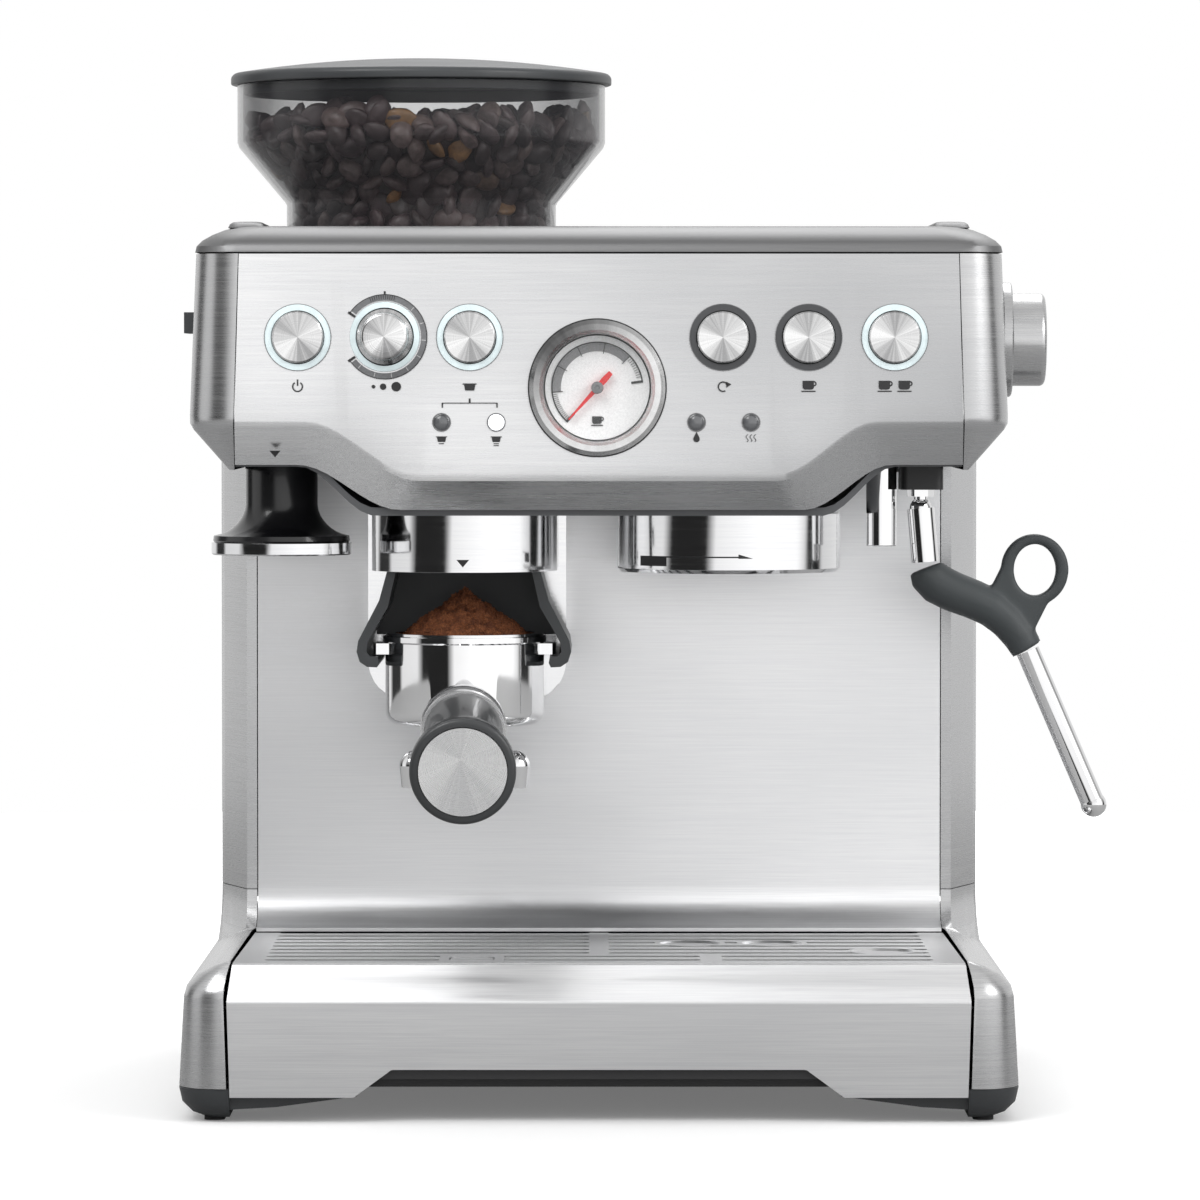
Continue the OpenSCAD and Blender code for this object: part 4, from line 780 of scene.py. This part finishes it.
def finishes():
    # The brushed steel sheets differ in grain and roughness, and their greys are set apart as painted light
    # and shade: front and splash brighter, sides and tray darker.
    front_low, front_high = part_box("front_panel")
    # Painted shade: the front panel's colour darkens from its lower left towards its upper right.
    shade_from = Vector((front_low.x, 0, front_low.z + 0.02))
    shade_to = Vector((front_high.x, 0, front_high.z + 0.04))
    steel = brushed("front_steel", 0.88, contrast=0.1, painted_shade=(shade_from, shade_to, 0.75))
    side = brushed("side_steel", 0.56, 0.26, "xy")
    tray = brushed("tray_steel", 0.72, 0.33)
    splash_low, splash_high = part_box("back_panel")
    # Painted shade: the splash panel's colour darkens from near its upper right towards its lower left.
    shade_from = splash_high - Vector((0.08, 0, 0.09))
    splash = brushed("splash_steel", 0.93, 0.36, painted_shade=(shade_from, splash_low, 0.5))
    top = brushed("top_steel", 0.2, 0.42, "x", 0.06)
    polished = chrome("chrome", 0.84, 0.03)
    bright = brushed("bright_steel", 0.8, 0.08, "xy", 0.04, 0.2)
    dark = plastic("dark_grey_plastic", (0.042, 0.045, 0.048), 0.4)
    black = plastic("black_gloss", (0.005, 0.005, 0.006), 0.2, coat=0.25, texture=0.04)
    matt_black = plastic("black_plastic", (0.018, 0.018, 0.019), 0.42)
    rubber = plastic("foot_rubber", (0.02, 0.02, 0.021), 0.75)
    collar = plastic("handle_grip", (0.032, 0.034, 0.036), 0.4, coat=0.2, texture=0.3)
    brass = chrome("brass_metal", 0.5, 0.25)
    for node, look in {
        "base_pan": matt_black, "corner_feet": dark, "rubber_pads": rubber, "left_base_cover": side,
        "right_base_cover": side, "left_side_panel": side, "right_side_panel": side, "back_panel": splash,
        "top_cover": top, "front_panel": steel,
        "lower_fascia": plastic("fascia_grey", (0.085, 0.088, 0.093), 0.4),
        "cord_gland": matt_black, "group_head": bright, "shower_screen": bright, "grinder_outlet": bright,
        "cradle": dark, "hot_water_spout": polished, "heater": bright,
        "pump": matt_black, "steam_valve": brass, "grinder_housing": dark, "grinder_motor": bright,
        "control_board": plastic("board_green", (0.01, 0.09, 0.03), 0.4), "case_screws": polished,
        "water_hoses": plastic("hose_silicone", (0.6, 0.6, 0.58), 0.35), "hopper_lid": dark,
        "grind_amount_dial": spun("amount_knob", amount_dial, 0.35, 0.9, 0.6, 0.16),
        "grind_size_dial": dark, "steam_dial": side, "wand_ball": polished, "wand_tube": polished,
        "portafilter": polished, "filter_basket": bright, "portafilter_handle": collar,
        "grind_switch": matt_black, "tamper_handle": black, "tamper_base": bright, "drip_tray": matt_black,
        "tray_front": tray, "drip_grille": tray,
        "tray_float": plastic("float_grey", (0.35, 0.35, 0.36), 0.35), "water_tank": smoky("tank_clear"),
        "tank_lid": dark, "cone_burr": bright, "motor_pinion": brass, "hopper": smoky("hopper_smoke"),
        "gauge_needle": painted("needle_red", (0.62, 0.01, 0.014), 0.3),
    }.items():
        finish_node(node, look)
    for k, name in enumerate(BUTTONS):
        finish_node(name, spun("spun_" + name, middle(name), 0.36, 0.86, 0.5 + 0.35 * k))
    finish_node("handle_cap", spun("spun_cap", middle("handle_cap"), 0.8, 1.0, 1.1, 0.26))
    finish_node("rear_cover", side, matt_black)
    bay_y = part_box("rear_cover")[1].y - 5 * MM
    mark_faces("rear_cover", lambda centre, normal: int(centre.y < bay_y))
    finish_node("wand_bracket", polished, matt_black)
    mark_faces("wand_bracket", lambda centre, normal: int(centre.z > NUT_TOP_Z))
    finish_node("gauge_bezel", spun("spun_bezel", gauge, 0.1, 0.95, 2.4, 0.2, 1, 0.08),
                painted("gauge_white", (0.86, 0.86, 0.86), 0.5))

    def white_face(centre, normal):
        inside = math.hypot(centre.x - gauge.x, centre.z - gauge.z) < DIAL_PLATE_R
        return 1 if inside and abs(normal.y) > 0.9 else 0

    mark_faces("gauge_bezel", white_face)
    panel_lights()


# ---- Camera, light and floor ----


def studio():
    scene = bpy.context.scene
    camera = bpy.data.objects.new("camera", bpy.data.cameras.new("camera"))
    scene.collection.objects.link(camera)
    camera.location = (body_x, -2.635, 0.2756)
    aim = Vector((body_x + 0.0004, -0.135, 0.194))
    camera.rotation_euler = (aim - camera.location).to_track_quat("-Z", "Y").to_euler()
    camera.data.lens = 203
    camera.data.sensor_width = 36
    scene.camera = camera
    scene.view_settings.view_transform = "Standard"

    edge = [(1.7 * math.cos(TAU * k / 64), 1.7 * math.sin(TAU * k / 64), 0) for k in range(64)]
    floor = bpy.data.objects.new("floor", mesh_of("floor", edge, [tuple(range(64))]))
    scene.collection.objects.link(floor)
    floor.location.z = -0.0002
    look = Look("floor_paint", Roughness=0.7, Specular_IOR_Level=0.1, Emission_Color=(1, 1, 1, 1))
    direct = look.add("LightPath").outputs["Is Camera Ray"]
    pale = look.blend(look.between(look.noise((3, 3, 3)), 0.0, 1.0), (0.83, 0.83, 0.83), (0.85, 0.85, 0.85))
    # Painted shade: rays other than the camera's see the floor dark grey, which darkens its reflections in
    # the machine and the light it bounces up.
    look.to("Base Color", look.blend(direct, (0.36, 0.36, 0.36), pale))
    # Away from the machine the floor brightens into the white of the room
    away = look.add("VectorMath", {0: look.place()}, operation="LENGTH").outputs["Value"]
    look.to("Emission Strength", look.math("MULTIPLY", look.between(away, 0.16, 1.0, 0.3, 1.1), direct))
    floor.data.materials.append(look.material)

    world = bpy.data.worlds.new("studio")
    scene.world = world
    world.use_nodes = True
    tree = world.node_tree
    tree.nodes.clear()

    def add(kind, **settings):
        node = tree.nodes.new("ShaderNode" + kind)
        for key, value in settings.items():
            setattr(node, key, value)
        return node

    parts = add("SeparateXYZ")
    tree.links.new(add("TexCoord").outputs["Generated"], parts.inputs[0])
    side = add("Math", operation="ARCTAN2")
    tree.links.new(parts.outputs[0], side.inputs[0])
    minus_y = add("Math", operation="MULTIPLY")
    minus_y.inputs[1].default_value = -1
    tree.links.new(parts.outputs[1], minus_y.inputs[0])
    tree.links.new(minus_y.outputs[0], side.inputs[1])
    turn = add("MapRange")
    turn.inputs["From Min"].default_value = -math.pi
    turn.inputs["From Max"].default_value = math.pi
    tree.links.new(side.outputs[0], turn.inputs["Value"])
    ramp = add("ValToRGB")
    tree.links.new(turn.outputs[0], ramp.inputs[0])
    # Brightness of the room by angle from the front, in degrees towards +X
    room = [(-180, 0.9), (-138, 0.9), (-128, 0.04), (-108, 0.04), (-102, 0.9), (-72, 0.95),
            (-62, 0.02), (-24, 0.02), (-14, 1.1), (30, 1.35), (74, 1.3), (84, 0.9),
            (90, 0.03), (106, 0.03), (112, 0.8), (150, 0.9)]
    fill_ramp(ramp, [((degrees + 180) / 360, (level, level, level)) for degrees, level in room])
    height = add("MapRange")
    height.inputs["From Min"].default_value = 0.02
    height.inputs["From Max"].default_value = 0.9
    tree.links.new(parts.outputs[2], height.inputs["Value"])
    mixed = add("Mix", data_type="RGBA")
    tree.links.new(height.outputs[0], mixed.inputs[0])
    tree.links.new(ramp.outputs[0], mixed.inputs[6])
    mixed.inputs[7].default_value = (0.78, 0.78, 0.78, 1)
    # What the camera sees directly is plain white
    seen = add("LightPath")
    shown = add("Mix", data_type="RGBA")
    tree.links.new(seen.outputs["Is Camera Ray"], shown.inputs[0])
    tree.links.new(mixed.outputs[2], shown.inputs[6])
    shown.inputs[7].default_value = (1, 1, 1, 1)
    background = add("Background")
    tree.links.new(shown.outputs[2], background.inputs[0])
    output = add("OutputWorld")
    tree.links.new(background.outputs[0], output.inputs[0])

    for name, place, size, power in (("key", (-1.1, -1.5, 1.9), 1.3, 26), ("fill", (1.7, -1.2, 1.2), 1.0, 14),
                                     ("back", (0.2, 1.6, 2.2), 1.6, 22)):
        lamp = bpy.data.objects.new(name, bpy.data.lights.new(name, "AREA"))
        scene.collection.objects.link(lamp)
        lamp.location = place
        lamp.rotation_euler = (Vector((0, 0, 0.2)) - lamp.location).to_track_quat("-Z", "Y").to_euler()
        lamp.data.size = size
        lamp.data.energy = power


studio()
finishes()
coffee_beans()
coffee_grounds()
gauge_face()
amount_scale()
panel_marks()
group_marks()
rubber_grip()
